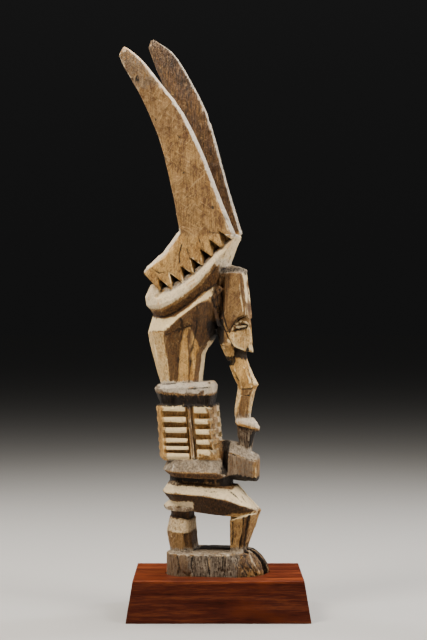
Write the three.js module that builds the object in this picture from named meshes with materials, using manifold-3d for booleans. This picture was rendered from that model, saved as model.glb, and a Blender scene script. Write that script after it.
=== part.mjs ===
// Ikenga figure on its plinth: a seated, horned, pipe-smoking figure carved from one log of hardwood, in a
// shallow recess in a block of red hardwood. Millimetres, Z up. The origin is the middle of the plinth's
// underside. The figure's own directions are u, forward to its toes, v, to its left, and z, up from the
// floor; it stands on the plinth turned by TURN. Both sides are carved alike, but for the horns and the toes.
import * as THREE from 'three';
import * as BufferGeometryUtils from 'three/addons/utils/BufferGeometryUtils.js';
import Module from 'manifold-3d';

const wasm = await Module();
wasm.setup();

// The plinth and how the figure stands in it
const PLINTH = { length: 179, depth: 133, height: 40, taper: 6.5 };
const RECESS = { depth: 4, margin: 1.2 };
const FIT = 0.3;
const TURN = THREE.MathUtils.degToRad(9);

// Most forms are stacks of levels. A level runs from back to front, is half as wide as the pair half says at
// its rear and its fore part, ends in flats half as wide as heel and toe, and its corners take up the lengths
// rear and fore. Its height z is one number, or [u, z] pairs where the level slopes or curves.
// How a level's corners are rounded: [share of their length, share of their width] of the point between
const ROUNDING = [0.35, 0.62];

const BASE = {
  bottom: { back: -50, front: 45.5, half: [33.5, 32], heel: 13, toe: 12, rear: 16, fore: 21 },
  // How far the toes draw back at each height
  toes: [[0, 43], [2.5, 50], [7, 56.5], [12, 61]],
  top: { inset: 3.5, z: 62.8, toe: 13, fore: 15 },
  farToe: 4,
  gap: { heel: 24, toe: 56, half: 9 },
};
const SHIN = {
  foot: 58,
  ankle: { z: 66, back: 14.8, arris: 27, front: 29, outer: 17.8 },
  knee: { z: 101, back: 15, arris: 37.5, front: 41, outer: 27 },
  inner: 5,
  bevel: 8,
  // The ledge on the outer side, just under the seat, and how far it is cut in above
  ledge: [[14, 94.6], [38, 101.4]],
  step: 8,
};
const STOOL = {
  block: [
    { z: 59, back: -46.5, front: -22, half: [24, 23.5], heel: 9, toe: 17, rear: 12, fore: 4 },
    {
      z: [[-48, 82], [-37, 84], [-32, 81.3], [-21, 81]],
      back: -50.5, front: -25.3, half: [27, 26.5], heel: 10, toe: 18, rear: 16, fore: 4,
    },
    {
      z: [[-45, 97], [-32, 95.3], [-20, 92]],
      back: -47.5, front: -25, half: [21.5, 21.5], heel: 9, toe: 15, rear: 13, fore: 3,
    },
  ],
  neck: { back: -46.5, front: -26.5, half: [20.5, 20.5], heel: 8, toe: 12, rear: 12, fore: 4 },
  cap: [
    {
      z: [[-50, 103.6], [-20, 101.6]],
      back: -52, front: -23, half: [26.5, 26.5], heel: 9, toe: 14, rear: 12, fore: 6,
    },
    {
      z: [[-50, 107], [-34, 106.6], [-20, 105.6]],
      back: -53.5, front: -22, half: [27.5, 27.5], heel: 10, toe: 15, rear: 13, fore: 6,
    },
    { z: 111.5, back: -49, front: -25, half: [23.5, 23.5], heel: 8, toe: 11, rear: 11, fore: 6 },
  ],
  // A shallow sunk panel low on each side of the block
  panel: { us: [-30.6, -20], zs: [64.5, 81], depth: 3.4 },
};
const SEAT = [
  {
    z: [[-45, 111], [-30, 108], [-18, 101.4], [15, 98.6], [30, 97.5], [40, 98.5]],
    back: -46.5, front: 38.5, half: [25, 25.5], heel: 9, toe: 12, rear: 10, fore: 22,
  },
  {
    z: [[-53, 121.5], [-29, 120], [-9, 118.6], [14, 114.5], [29, 108.5], [42, 101.8]],
    back: -54.5, front: 41.2, half: [34.5, 33], heel: 10, toe: 13, rear: 13, fore: 26,
  },
  {
    z: [[-46, 132], [-14, 129.2], [10, 127], [20, 128]],
    back: -47.5, front: 19.5, half: [25.5, 24.5], heel: 9, toe: 5, rear: 9, fore: 20,
  },
];
const THIGH_GROOVE = { from: [15, 130], to: [48, 97], half: 3, depth: 5 };
const HIPS = [
  {
    z: [[-44, 138], [-33, 136.2], [14, 135.4]],
    back: -47.5, front: 14, half: [32, 31], heel: 9, toe: 8, rear: 10, fore: 11,
  },
  {
    z: [[-50, 143], [-33, 141], [4, 140.6], [14, 137.5]],
    back: -54, front: 14, half: [34, 33], heel: 10, toe: 8, rear: 13, fore: 10,
  },
  { z: 154, back: -49, front: 4, half: [25.5, 25], heel: 8, toe: 8, rear: 10, fore: 8 },
];
const WAIST = { back: -47.5, front: 14, half: [24, 23], heel: 8, toe: 8, rear: 10, fore: 14 };
const TORSO = {
  plan: { back: -60.5, front: -2.2, half: [28, 28], heel: 16, toe: 21, rear: 7, fore: 5 },
  foot: 153,
  top: 208,
  lean: 0.085,
};
const SLOTS = {
  depth: 5,
  frontDepth: 3,
  backDepth: 2,
  rear: {
    us: [-51.4, -30.2],
    zs: [[196.1, 201.4], [185.8, 190.5], [175, 180.2], [167.1, 170.8], [160.2, 163.6]],
  },
  fore: { us: [-20.4, -6.3], zs: [[194.4, 199.7], [184.1, 188.9], [173.8, 179], [163.9, 169.2]] },
  // The groove on each side of the upright bar between the two ladders
  grooves: [{ us: [-29.2, -27], depth: 4 }, { us: [-24, -20.8], depth: 3 }],
};
const COLLAR = [
  { z: 206, back: -55.5, front: -6.5, half: [24.5, 24.5], heel: 10, toe: 19, rear: 11, fore: 5 },
  {
    z: [[-61, 220], [-14, 217.6], [-4, 217.8]],
    back: -61.5, front: -4.6, half: [28.5, 27], heel: 11, toe: 20, rear: 11, fore: 6,
  },
  {
    z: [[-62, 223.6], [-4, 226]],
    back: -63, front: -4, half: [29.5, 28], heel: 11, toe: 20.5, rear: 12, fore: 6,
  },
  {
    z: [[-60, 227.2], [-7, 230.6]],
    back: -60, front: -7, half: [26.5, 25.5], heel: 10, toe: 18, rear: 11, fore: 6,
  },
];
// Neck, undercut, brim and the seat of the crest, from the collar up. The side corners are [share of the way
// from the rear corner to the fore one, how far they stand out]: in the neck they make its upright flutes.
const TRUNK = [
  {
    z: 224, back: -56, front: -19, half: [25, 22.5], heel: 8, toe: 13, rear: 12.5, fore: 3.5,
    side: [[0.22, -2], [0.76, 0.5], [0.81, -0.8]],
  },
  {
    z: 258, back: -65.5, front: -15.2, half: [30, 24], heel: 8, toe: 14, rear: 18, fore: 3.3,
    side: [[0.41, -3.5], [0.76, 0.8], [0.83, -1.5]],
  },
  {
    z: [[-69, 275], [-47, 277], [-34, 283], [-23, 287], [-13, 284], [-3, 277]],
    back: -69.3, front: -3, half: [32.5, 28], heel: 9, toe: 12, rear: 21.5, fore: 9,
    side: [[0.47, -2.5], [0.74, 0.3], [0.85, -1]],
  },
  {
    z: [[-69, 279.8], [-46, 281], [-38, 289.5], [-27, 299.5], [-15, 308], [4, 311]],
    back: -69.5, front: 4, half: [34.5, 33], heel: 10, toe: 15, rear: 21, fore: 20,
  },
  {
    z: [[-64, 297], [-52, 294.5], [-40, 299], [-28, 306], [-14, 318], [-3, 325], [4, 330]],
    back: -64.5, front: 4, half: [26, 27], heel: 9, toe: 13, rear: 14, fore: 18,
  },
  {
    z: [[-67, 302], [-53, 301], [-38, 308.6], [-20, 322.5], [-3, 341.5], [12, 359.5], [19, 370]],
    back: -67, front: 19, half: [34, 33], heel: 10, toe: 16, rear: 15, fore: 22,
  },
  {
    z: [[-72, 306.5], [-54, 306], [-38, 312.5], [-20, 325], [-3, 343.5], [13, 361.5], [21, 373]],
    back: -71, front: 20.5, half: [35.5, 33], heel: 12, toe: 16, rear: 17, fore: 22,
  },
  {
    z: [[-72, 315], [-54, 311.5], [-38, 318], [-20, 330], [-3, 348], [13, 365], [21, 375]],
    back: -72.3, front: 21.3, half: [33.5, 31], heel: 11, toe: 15.5, rear: 17, fore: 21,
  },
  {
    z: [[-67, 327], [-53, 322.5], [-36, 330], [-18, 342], [0, 359], [13, 370], [20, 377]],
    back: -67, front: 20, half: [23.5, 23.5], heel: 9, toe: 13, rear: 13, fore: 20,
  },
];
const CREST = {
  // Half-way across the log: the crest's flat faces, and the ridge that its bevelled back rises to
  face: 29,
  ridge: 13,
  edge: [[-54.3, 319], [-41.7, 323], [-21.2, 337], [-2, 355.5], [16.6, 372.6]],
  ridgeBack: [
    [-62.5, 329.5], [-73.3, 340], [-69.8, 345.2], [-62.4, 351.4], [-53.4, 360], [-46.2, 369], [-40, 378],
  ],
  faceBack: [
    [-63, 330], [-70, 338], [-66.8, 341.5], [-59.5, 346.6], [-49.5, 352.8], [-41.5, 363], [-34.6, 375],
  ],
  ridgeFront: [20.8, 376.5],
  faceFront: [18.4, 374.6],
  top: [-34, 384],
};
const TEETH = {
  notches: 7,
  depth: 14.6,
  lean: new THREE.Vector2(-0.54, 0.84),
  // A notch narrows toward its inner end by moving its rear wall forward
  inner: 18,
  slide: 0.35,
  overlap: 2,
};
const HORN = {
  stations: 14,
  // The outer and the inner face of the blade at the foot and at the tip
  foot: { outer: 28.3, inner: 14 },
  tip: { outer: 39.5, inner: 32 },
  // [place from the back edge to the front edge, place from the inner face, -1, to the outer face, 1]
  section: [[1, 0.15], [0.905, 1], [0.52, 1.1], [0.035, 0.85], [0, 0.1], [0.2, -0.95], [0.97, -0.9]],
  near: {
    front: [
      [20.6, 376.6], [6.8, 410], [-9.1, 452.4], [-29.5, 495], [-53, 526.3], [-70, 547.6], [-83.5, 559],
    ],
    back: [
      [-35.8, 380], [-43, 422], [-54, 468], [-71, 509], [-83.5, 532], [-90.5, 544.5], [-93.2, 553],
    ],
    tip: [-89.5, 562.3],
  },
  far: {
    front: [
      [21.4, 379], [10.4, 413.3], [-2, 456.4], [-15.6, 501.8], [-35.5, 540.4], [-51, 564], [-64.5, 574.6],
    ],
    back: [
      [-35.8, 382], [-40, 424], [-46, 471], [-55, 515], [-64.7, 538], [-72, 555], [-78.4, 572],
    ],
    tip: [-74.8, 581.6],
  },
  // How the foot runs on into the crest, and how near the tip the last section stands
  root: { drop: 5, inset: 5, thin: 0.5 },
  point: 0.75,
};
// The head's heights are shares of its height from chin to crown.
const HEAD = {
  chin: 251.3,
  crown: 347,
  block: [
    {
      z: [[5, 0.17], [18, 0.145], [35, 0.085]],
      back: 3, front: 35, half: [16, 16], heel: 10, toe: 4, rear: 4, fore: 12,
    },
    { z: 0.52, back: 0, front: 31.5, half: [19.5, 20], heel: 13, toe: 16.5, rear: 3, fore: 4 },
    { z: [[3, 0.925], [27, 0.9]], back: 2, front: 27, half: [19.5, 20], heel: 13, toe: 17, rear: 3, fore: 4 },
    {
      z: [[8, 1.005], [19, 0.994], [29, 0.943]],
      back: 7, front: 28.5, half: [8, 8], heel: 4, toe: 5, rear: 3, fore: 4,
    },
  ],
  jaw: [
    { z: 0, back: 10, front: 17, half: [6.5, 6.5], heel: 3, toe: 3, rear: 2, fore: 2 },
    { z: 0.16, back: 3.5, front: 18.5, half: [13, 13], heel: 8, toe: 7, rear: 3, fore: 3 },
    { z: 0.34, back: -1, front: 19, half: [15, 15], heel: 10, toe: 9, rear: 3, fore: 3 },
  ],
  // In plan, the face's planes run from the cheek to the ridge of the nose.
  cheek: [14, 21],
  ridge: [33.5, 3],
  brow: [[-2, 0.28], [0, 0.3], [4, 0.37], [9, 0.44], [14, 0.465], [20, 0.42], [29, 0.42]],
  eye: { along: 0.55, z: 0.36, length: 20, height: 10.5, proud: 1.8, slit: 1.1 },
  groove: { u: 5.2, zs: [[0.36, 0], [0.5, 1], [0.75, 1], [0.9, 0]], half: 4.6, depth: 5 },
  ear: { at: [1.5, 0.702], length: 14, width: 4.6, root: 12, proud: 24.5, lean: 36, strip: 26 },
};
const STEM = {
  half: 8,
  arris: 4.5,
  ridge: 3,
  // [height, back edge, front edge]
  levels: [
    [264, 16, 28], [255, 14, 28.5], [246, 12, 31], [235, 16, 36], [227.5, 20, 40], [222, 20, 37],
    [205.8, 17.3, 33.6], [198, 17.3, 32.2], [187, 19, 32],
  ],
};
const BOWL = [
  { z: 158, back: 25, front: 32.5, half: [5, 5], heel: 3, toe: 3, rear: 1.5, fore: 1.5 },
  { z: 177, back: 20.4, front: 36, half: [8, 8], heel: 4, toe: 4, rear: 3, fore: 4 },
  {
    z: [[20, 187], [38, 181]],
    back: 19.6, front: 38, half: [9, 9], heel: 4, toe: 4, rear: 4, fore: 4.5,
  },
  {
    z: [[18, 189.5], [22, 188], [35, 184], [41, 180.5]],
    back: 18, front: 41, half: [12, 12], heel: 5, toe: 5, rear: 4, fore: 6,
  },
  {
    z: [[18, 192], [22, 191], [35, 189], [41, 185]],
    back: 18, front: 41, half: [12, 12], heel: 5, toe: 5, rear: 4, fore: 6,
  },
  {
    z: [[20, 194.8], [34, 194], [38, 190]],
    back: 20, front: 38, half: [9.5, 9.5], heel: 4, toe: 4, rear: 3, fore: 4,
  },
];
const BOX = {
  ridge: 5,
  keel: 0.55,
  // [u, half width, underside, side's lower edge, side's upper edge, ridge of the lid]
  slices: [
    [-4, 9, 135, 140, 162, 171.5],
    [10.5, 9, 134, 139, 161, 171.5],
    [12, 15.5, 133.5, 138.6, 160, 171],
    [21, 15.5, 132.6, 137, 157.2, 169.6],
    [32.5, 15, 131.8, 135.4, 153.6, 161.8],
    [40, 14, 131.6, 134.3, 152, 157],
  ],
};

const join = (solids) => solids.reduce((whole, solid) => whole.add(solid));
const cut = (solid, tools) => tools.reduce((rest, tool) => rest.subtract(tool), solid);
const bothSides = (make) => [make(-1), make(1)].flat();
const ordered = (...values) => values.sort((a, b) => a - b);

// The value at a place between listed [place, value] pairs, held beyond the ends
function between(pairs, place) {
  const next = pairs.findIndex(([at]) => at > place);
  if (next === 0) return pairs[0][1];
  if (next < 0) return pairs.at(-1)[1];
  const [[a, from], [b, to]] = [pairs[next - 1], pairs[next]];
  return THREE.MathUtils.mapLinear(place, a, b, from, to);
}

const curveOf = (points) => new THREE.SplineCurve(points.map((p) => new THREE.Vector2(...p)));

// A closed geometry as a solid that can be joined and cut
function solidOf(geometry) {
  const bare = geometry.clone();
  bare.deleteAttribute('normal');
  bare.deleteAttribute('uv');
  const merged = BufferGeometryUtils.mergeVertices(bare, 1e-4);
  const mesh = new wasm.Mesh({
    numProp: 3,
    vertProperties: new Float32Array(merged.attributes.position.array),
    triVerts: new Uint32Array(merged.index.array),
  });
  return new wasm.Manifold(mesh);
}

function volumeOf(points, faces) {
  let volume = 0;
  for (let f = 0; f < faces.length; f += 3) {
    const [a, b, c] = [points[faces[f]], points[faces[f + 1]], points[faces[f + 2]]];
    volume += a.dot(b.clone().cross(c)) / 6;
  }
  return volume;
}

// A closed skin through a stack of rings that all have the same number of corners, with a lid on both ends
function loft(rings) {
  const count = rings[0].length;
  const points = rings.flat();
  const faces = [];
  for (let row = 0; row + 1 < rings.length; row += 1) {
    for (let i = 0; i < count; i += 1) {
      const a = row * count + i;
      const b = row * count + ((i + 1) % count);
      faces.push(a, b, b + count, a, b + count, a + count);
    }
  }
  for (const end of [0, rings.length - 1]) {
    const middle = points.length;
    const sum = rings[end].reduce((total, p) => total.add(p), new THREE.Vector3());
    points.push(sum.divideScalar(count));
    for (let i = 0; i < count; i += 1) {
      const a = end * count + i;
      const b = end * count + ((i + 1) % count);
      faces.push(...(end === 0 ? [b, a, middle] : [a, b, middle]));
    }
  }
  if (volumeOf(points, faces) < 0) faces.reverse();
  const geometry = new THREE.BufferGeometry().setFromPoints(points);
  geometry.setIndex(faces);
  return solidOf(geometry);
}

// Half of a level's plan as [u, v] corners from back to front
function halfPlan({ back, front, half, heel, toe, rear, fore, side }) {
  const corner = (end, flat, length, wide) => [
    [end, flat],
    [end + length * ROUNDING[0], THREE.MathUtils.lerp(flat, wide, ROUNDING[1])],
    [end + length, wide],
  ];
  const rearCorner = corner(back, heel, rear, half[0]);
  const foreCorner = corner(front, toe, -fore, half[1]).reverse();
  const [from, to] = [rearCorner.at(-1), foreCorner[0]];
  const along = side.map(([share, out]) => [
    THREE.MathUtils.lerp(from[0], to[0], share), THREE.MathUtils.lerp(from[1], to[1], share) + out,
  ]);
  return [...rearCorner, ...along, ...foreCorner];
}

// Evenly spread side corners on a slight swell
function swelling(count) {
  return Array.from({ length: count }, (_, i) => {
    const share = (i + 1) / (count + 1);
    return [share, 4 * share * (1 - share)];
  });
}

// One level as a ring of corners: along the right side from back to front, then back along the left side
function level(size, { spare = 0, farReach = 0 } = {}) {
  const heightAt = (u) => (Array.isArray(size.z) ? between(size.z, u) : size.z);
  const upright = (sign, plan) => plan.map(([u, v]) => new THREE.Vector3(u, sign * v, heightAt(u)));
  const right = { side: swelling(spare), ...size };
  const left = { ...right, front: size.front + farReach, fore: size.fore + farReach };
  return [...upright(-1, halfPlan(right)), ...upright(1, halfPlan(left)).reverse()];
}

const stack = (sizes, options) => loft(sizes.map((size) => level(size, options)));

// A closed outline pushed through a depth
function pushed(outline, depth) {
  const shape = new THREE.Shape(outline.map(([a, b]) => new THREE.Vector2(a, b)));
  return new THREE.ExtrudeGeometry(shape, { depth, bevelEnabled: false });
}

// An outline of [u, z] corners across the figure, and one of [u, v] corners upright
function slab(outline, from, to) {
  return solidOf(pushed(outline, to - from).rotateX(Math.PI / 2).translate(0, to, 0));
}

const post = (outline, from, to) => solidOf(pushed(outline, to - from).translate(0, 0, from));

// The log's foot, with two feet running forward and down to the toes
function baseBlock() {
  const foot = PLINTH.height - RECESS.depth + FIT;
  const { bottom, toes, top, gap } = BASE;
  const drawnBack = toes.map(([back, z]) => ({ ...bottom, front: bottom.front - back, z }));
  const edge = drawnBack.at(-1);
  const half = edge.half.map((v) => v - top.inset);
  const crown = { ...edge, ...top, back: edge.back + top.inset, front: edge.front - top.inset, half };
  const block = stack([{ ...bottom, z: foot }, ...drawnBack, crown], { spare: 1, farReach: BASE.farToe });
  return cut(block, [post([[gap.heel, 0], [gap.toe, -gap.half], [gap.toe, gap.half]], foot - 1, top.z + 1)]);
}

// One shin, tapering from the knee to the ankle, with its outer face ending in a ledge under the seat
function shin(sign) {
  const { ankle, knee, foot, inner, bevel, ledge, step } = SHIN;
  const ring = ({ back, arris, front, outer }, z) => [
    [back, outer], [arris, outer], [front, outer - bevel], [front, inner], [back, inner],
  ].map(([u, v]) => new THREE.Vector3(u, sign * v, z));
  const whole = loft([ring(ankle, foot), ring(ankle, ankle.z), ring(knee, knee.z)]);
  const [low, high] = ledge;
  const above = [low, high, [high[0] + step, high[1]], [high[0] + step, knee.z + 1], [low[0], knee.z + 1]];
  return cut(whole, [slab(above, ...ordered(sign * (knee.outer - step), sign * (knee.outer + 1)))]);
}

// The stool behind the legs: a faceted block, a narrow neck and a flat cap under the seat
function stool() {
  const { block, neck, cap, panel } = STOOL;
  const heights = [block.at(-1).z.at(-1)[1] - 2, cap[0].z[0][1] + 1];
  const whole = join([stack(block, { spare: 1 }), stack(heights.map((z) => ({ ...neck, z }))), stack(cap)]);
  const deepest = block[1].half[1] - panel.depth;
  const [[u0, u1], [z0, z1]] = [panel.us, panel.zs];
  const outline = [[u0, z0], [u1, z0], [u1, z1], [u0, z1]];
  const panels = bothSides((sign) => slab(outline, ...ordered(sign * deepest, sign * (deepest + 10))));
  return cut(whole, panels);
}

// Seat and thighs in one tapering slab, with a groove between the thighs
function seat() {
  const { from, to, half, depth } = THIGH_GROOVE;
  const groove = loft([from, to].map(([u, z]) => [
    new THREE.Vector3(u, -half, z + 4),
    new THREE.Vector3(u, 0, z - depth),
    new THREE.Vector3(u, half, z + 4),
  ]));
  return cut(stack(SEAT, { spare: 2 }), [groove]);
}

// The flared ring round the hips and the narrow waist under it
function hips() {
  const waist = [SEAT[2].z[2][1] - 2, HIPS[0].z[0][1] + 4].map((z) => ({ ...WAIST, z }));
  return join([stack(HIPS, { spare: 1 }), stack(waist)]);
}

// The trunk: a leaning block with two ladders of slots on each side and one round its front and its back
function torso() {
  const { plan, foot, top, lean } = TORSO;
  const leaning = (ring) => ring.map((p) => new THREE.Vector3(p.x + lean * (top - p.z), p.y, p.z));
  const drawn = (inset, z) => leaning(level({
    ...plan, z, back: plan.back + inset, front: plan.front - inset / 2, half: plan.half.map((v) => v - inset),
  }));
  const block = loft([drawn(3, foot), drawn(0, foot + 4), drawn(0, top - 2), drawn(1.5, top)]);
  const hole = (us, vs, zs) => loft(zs.map((z) => leaning([
    [us[0], vs[0]], [us[1], vs[0]], [us[1], vs[1]], [us[0], vs[1]],
  ].map(([u, v]) => new THREE.Vector3(u, v, z)))));
  const half = plan.half[0];
  const sunk = (sign, depth) => [sign * (half - depth), sign * (half + 5)];
  const ladder = (sign, { us, zs }) => zs.map((pair) => hole(us, sunk(sign, SLOTS.depth), pair));
  const tools = bothSides((sign) => [
    ...ladder(sign, SLOTS.rear),
    ...ladder(sign, SLOTS.fore),
    ...SLOTS.grooves.map(({ us, depth }) => hole(us, sunk(sign, depth), [foot - 1, top - 1])),
  ]);
  const post = half - plan.fore;
  const front = [plan.front - SLOTS.frontDepth, plan.front + 9];
  const back = [plan.back - 9, plan.back + SLOTS.backDepth];
  tools.push(...SLOTS.fore.zs.map((pair) => hole(front, [-post - 1, post - 5], pair)));
  tools.push(...SLOTS.rear.zs.map((pair) => hole(back, [-post + 4, post - 4], pair)));
  return cut(block, tools);
}

// The crest and the two horns it carries: slices across the log, with a lower edge cut into teeth
function crestAndHorns() {
  const tips = curveOf(CREST.edge).getSpacedPoints(TEETH.notches);
  const slice = (v, front, back) => {
    const corners = [front, ...tips.toReversed().map((p) => p.toArray()), ...back, CREST.top];
    return corners.map(([u, z]) => new THREE.Vector3(u, v, z));
  };
  const outer = (v) => slice(v, CREST.faceFront, CREST.faceBack);
  const inner = (v) => slice(v, CREST.ridgeFront, CREST.ridgeBack);
  const block = loft([outer(-CREST.face), inner(-CREST.ridge), inner(CREST.ridge), outer(CREST.face)]);
  const notches = tips.slice(1).flatMap((high, i) => {
    const apex = tips[i].clone().lerp(high, 0.5).addScaledVector(TEETH.lean, TEETH.depth);
    const [left, right] = [tips[i], high].map((p) => p.clone().addScaledVector(TEETH.lean, -TEETH.overlap));
    const mouth = [left, apex, right];
    const end = [left.clone().lerp(right, TEETH.slide), apex.clone().lerp(right, TEETH.slide / 2), right];
    const at = (corners, v) => corners.map((p) => new THREE.Vector3(p.x, v, p.y));
    return bothSides((sign) => loft([
      at(mouth, sign * (CREST.face + 4)), at(mouth, sign * CREST.face), at(end, sign * TEETH.inner),
    ]));
  });
  return cut(join([block, horn(-1, HORN.near), horn(1, HORN.far)]), notches);
}

// One horn: a bladed section swept between its front and its back edge, rooted inside the crest
function horn(sign, { front, back, tip }) {
  const [fore, rear] = [front, back].map(curveOf);
  const ring = (f, b, outer, inner) => HORN.section.map(([along, across]) => {
    const p = b.clone().lerp(f, along);
    return new THREE.Vector3(p.x, sign * THREE.MathUtils.mapLinear(across, -1, 1, inner, outer), p.y);
  });
  const { root, foot } = HORN;
  const down = (p, shift) => p.clone().add(new THREE.Vector2(shift, -root.drop));
  const lowest = [down(fore.getPoint(0), -root.inset), down(rear.getPoint(0), root.inset)];
  const rings = [ring(...lowest, foot.outer - root.thin, foot.inner)];
  for (let i = 0; i <= HORN.stations; i += 1) {
    const t = i / HORN.stations;
    const at = (key) => THREE.MathUtils.lerp(foot[key], HORN.tip[key], t);
    rings.push(ring(fore.getPoint(t), rear.getPoint(t), at('outer'), at('inner')));
  }
  const end = new THREE.Vector3(tip[0], (sign * (HORN.tip.outer + HORN.tip.inner)) / 2, tip[1]);
  rings.push(rings.at(-1).map((p) => p.clone().lerp(end, HORN.point)));
  return loft(rings);
}

// The head: a tall block with a bevelled crown, cut back under an arched brow to two planes that meet in the
// ridge of the nose. The face is a plain cubist one, laid out in shares of the head's height.
function head() {
  const height = (share) => THREE.MathUtils.lerp(HEAD.chin, HEAD.crown, share);
  const scaled = (sizes) => sizes.map((size) => ({
    ...size, z: Array.isArray(size.z) ? size.z.map(([u, share]) => [u, height(share)]) : height(size.z),
  }));
  const { cheek, ridge, brow, eye, groove, ear } = HEAD;
  const arch = brow.map(([u, share]) => [cheek[0] + u, height(share)]);
  const below = slab([[arch[0][0], HEAD.chin - 5], ...arch, [arch.at(-1)[0], HEAD.chin - 5]], -40, 40);
  const planes = bothSides((sign) => {
    const outside = [cheek, [cheek[0], 30], [50, 30], [50, ridge[1] - 9], ridge];
    return post(outside.map(([u, v]) => [u, sign * v]), HEAD.chin - 5, height(0.7)).intersect(below);
  });
  const side = HEAD.block[1].half[0];
  const grooves = bothSides((sign) => loft(groove.zs.map(([share, sunk]) => {
    const mouth = groove.half + 1;
    const section = [[-mouth, 1], [0, 1 - (groove.depth + 1) * sunk], [mouth, 1]];
    const z = height(share);
    return section.map(([across, out]) => new THREE.Vector3(groove.u + across, sign * (side + out), z));
  })));
  const along = new THREE.Vector3(ridge[0] - cheek[0], ridge[1] - cheek[1], 0).normalize();
  const out = new THREE.Vector3(-along.y, along.x, 0);
  const centre = new THREE.Vector3(...cheek, 0).lerp(new THREE.Vector3(...ridge, 0), eye.along);
  centre.setZ(height(eye.z));
  const onFace = (sign, a, b, lift) => {
    const p = centre.clone().addScaledVector(along, a).addScaledVector(out, lift);
    return new THREE.Vector3(p.x, sign * p.y, p.z + b);
  };
  const almond = (sign, length, tall, lift) => {
    const corners = [-1, -0.6, 0, 0.6, 1, 0.6, 0, -0.6].map((a, i) => [a, (i < 4 ? 1 : -1) * (1 - a * a)]);
    return corners.map(([a, b]) => onFace(sign, (a * length) / 2, (b * tall) / 2, lift));
  };
  const eyes = bothSides((sign) => {
    const { length, height: tall, proud, slit } = eye;
    const lids = loft([almond(sign, length, tall, -2), almond(sign, length * 0.9, tall * 0.85, proud)]);
    const opening = loft([0, 4].map((lift) => almond(sign, length * 0.8, slit * 2, lift)));
    return cut(lids, [opening]);
  });
  const ears = bothSides((sign) => {
    const up = new THREE.Vector2(0, 1).rotateAround(new THREE.Vector2(), THREE.MathUtils.degToRad(-ear.lean));
    const side = new THREE.Vector2(up.y, -up.x);
    const at = new THREE.Vector2(ear.at[0], height(ear.at[1]));
    const corner = (a, b) => {
      const middle = at.clone().addScaledVector(up, (a * ear.length) / 2);
      return middle.addScaledVector(side, (b * ear.width) / 2);
    };
    const tab = [corner(-1, -1), corner(1, -1), corner(1, 1), corner(-1, 1)].map((p) => p.toArray());
    const [low, high] = [corner(-1, -1), corner(-1, 1)].map((p) => p.toArray());
    const strip = [low, high, [high[0] + 5.5, high[1] - ear.strip], [high[0] + 3, high[1] - ear.strip]];
    const reach = (outer) => ordered(sign * ear.root, sign * outer);
    return [slab(tab, ...reach(ear.proud)), slab(strip, ...reach(ear.proud - 2))];
  });
  const block = cut(stack(scaled(HEAD.block)), [...planes, ...grooves]);
  return join([block, stack(scaled(HEAD.jaw)), ...eyes, ...ears]);
}

// The pipe: a thick faceted stem with an elbow, and a cup-shaped bowl that stands on the box
function pipe() {
  const stem = loft(STEM.levels.map(([z, back, front]) => {
    const { ridge, arris, half } = STEM;
    const plan = [[back, ridge], [back + arris, half], [front - arris, half], [front, ridge]];
    const side = (sign) => plan.map(([u, v]) => new THREE.Vector3(u, sign * v, z));
    return [...side(-1), ...side(1).reverse()];
  }));
  return join([stem, stack(BOWL)]);
}

// The box held in the lap, with a ridged lid and a narrow root in the belly
function lapBox() {
  return loft(BOX.slices.map(([u, half, under, low, high, ridge]) => {
    const side = [[half * BOX.keel, under], [half, low], [half, high], [BOX.ridge, ridge]];
    const corners = [...side.map(([v, z]) => [-v, z]), ...side.toReversed()];
    return corners.map(([v, z]) => new THREE.Vector3(u, v, z));
  }));
}

function figureSolid() {
  return join([
    baseBlock(), ...bothSides(shin), stool(), seat(), hips(), torso(), stack(COLLAR, { spare: 1 }),
    stack(TRUNK, { spare: 3 }), crestAndHorns(), head(), pipe(), lapBox(),
  ]);
}

// The plinth: a block with sloping sides and a recess that follows the figure's base
function plinthSolid() {
  const ring = (inset, z) => [[-1, -1], [1, -1], [1, 1], [-1, 1]].map(([x, y]) => new THREE.Vector3(
    x * (PLINTH.length / 2 - inset), y * (PLINTH.depth / 2 - inset), z));
  const block = loft([ring(0, 0), ring(PLINTH.taper, PLINTH.height)]);
  const { bottom, farToe } = BASE;
  const wider = {
    ...bottom,
    z: 0,
    back: bottom.back - RECESS.margin,
    front: bottom.front + RECESS.margin,
    half: bottom.half.map((v) => v + RECESS.margin),
  };
  const up = new THREE.Vector3(0, 0, 1);
  const outline = level(wider, { farReach: farToe }).map((p) => p.applyAxisAngle(up, -TURN));
  const recess = post(outline.map(({ x, y }) => [x, y]), PLINTH.height - RECESS.depth, PLINTH.height + 5);
  return cut(block, [recess]);
}

function meshOf(name, solid, color, roughness) {
  const { vertProperties, triVerts } = solid.getMesh();
  const geometry = new THREE.BufferGeometry();
  geometry.setAttribute('position', new THREE.BufferAttribute(vertProperties, 3));
  geometry.setIndex(new THREE.BufferAttribute(triVerts, 1));
  const mesh = new THREE.Mesh(geometry, new THREE.MeshStandardMaterial({ color, roughness, metalness: 0 }));
  mesh.name = name;
  return mesh;
}

const ikenga = new THREE.Group();
const figure = meshOf('figure', figureSolid(), 0x9a7449, 0.8);
figure.rotation.z = -TURN;
const plinth = meshOf('plinth', plinthSolid(), 0x7a3320, 0.4);
ikenga.add(plinth, figure);

export default ikenga;
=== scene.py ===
"""An ikenga figure carved from one log, standing in its red-wood plinth, in a plain soft-lit studio.

The figure's solid is turned into one dense skin, which is then cut as a carver's tools and a century of
use cut it: blade marks, drying checks, chipped arrises, toe grooves. Colour follows what happened to each
place of the wood, together with painted shade in its hollows, gaps and undersides and painted highlights on
its arrises and lit faces, and is kept on the skin as attributes that the wood's material reads.

Sizes are in millimetres in the figure's own directions: u forward to its toes, v to its left, z up.
"""
import math

import bmesh
import bpy
import numpy as np
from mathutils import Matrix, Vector
from mathutils.bvhtree import BVHTree
from mathutils.kdtree import KDTree


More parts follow.
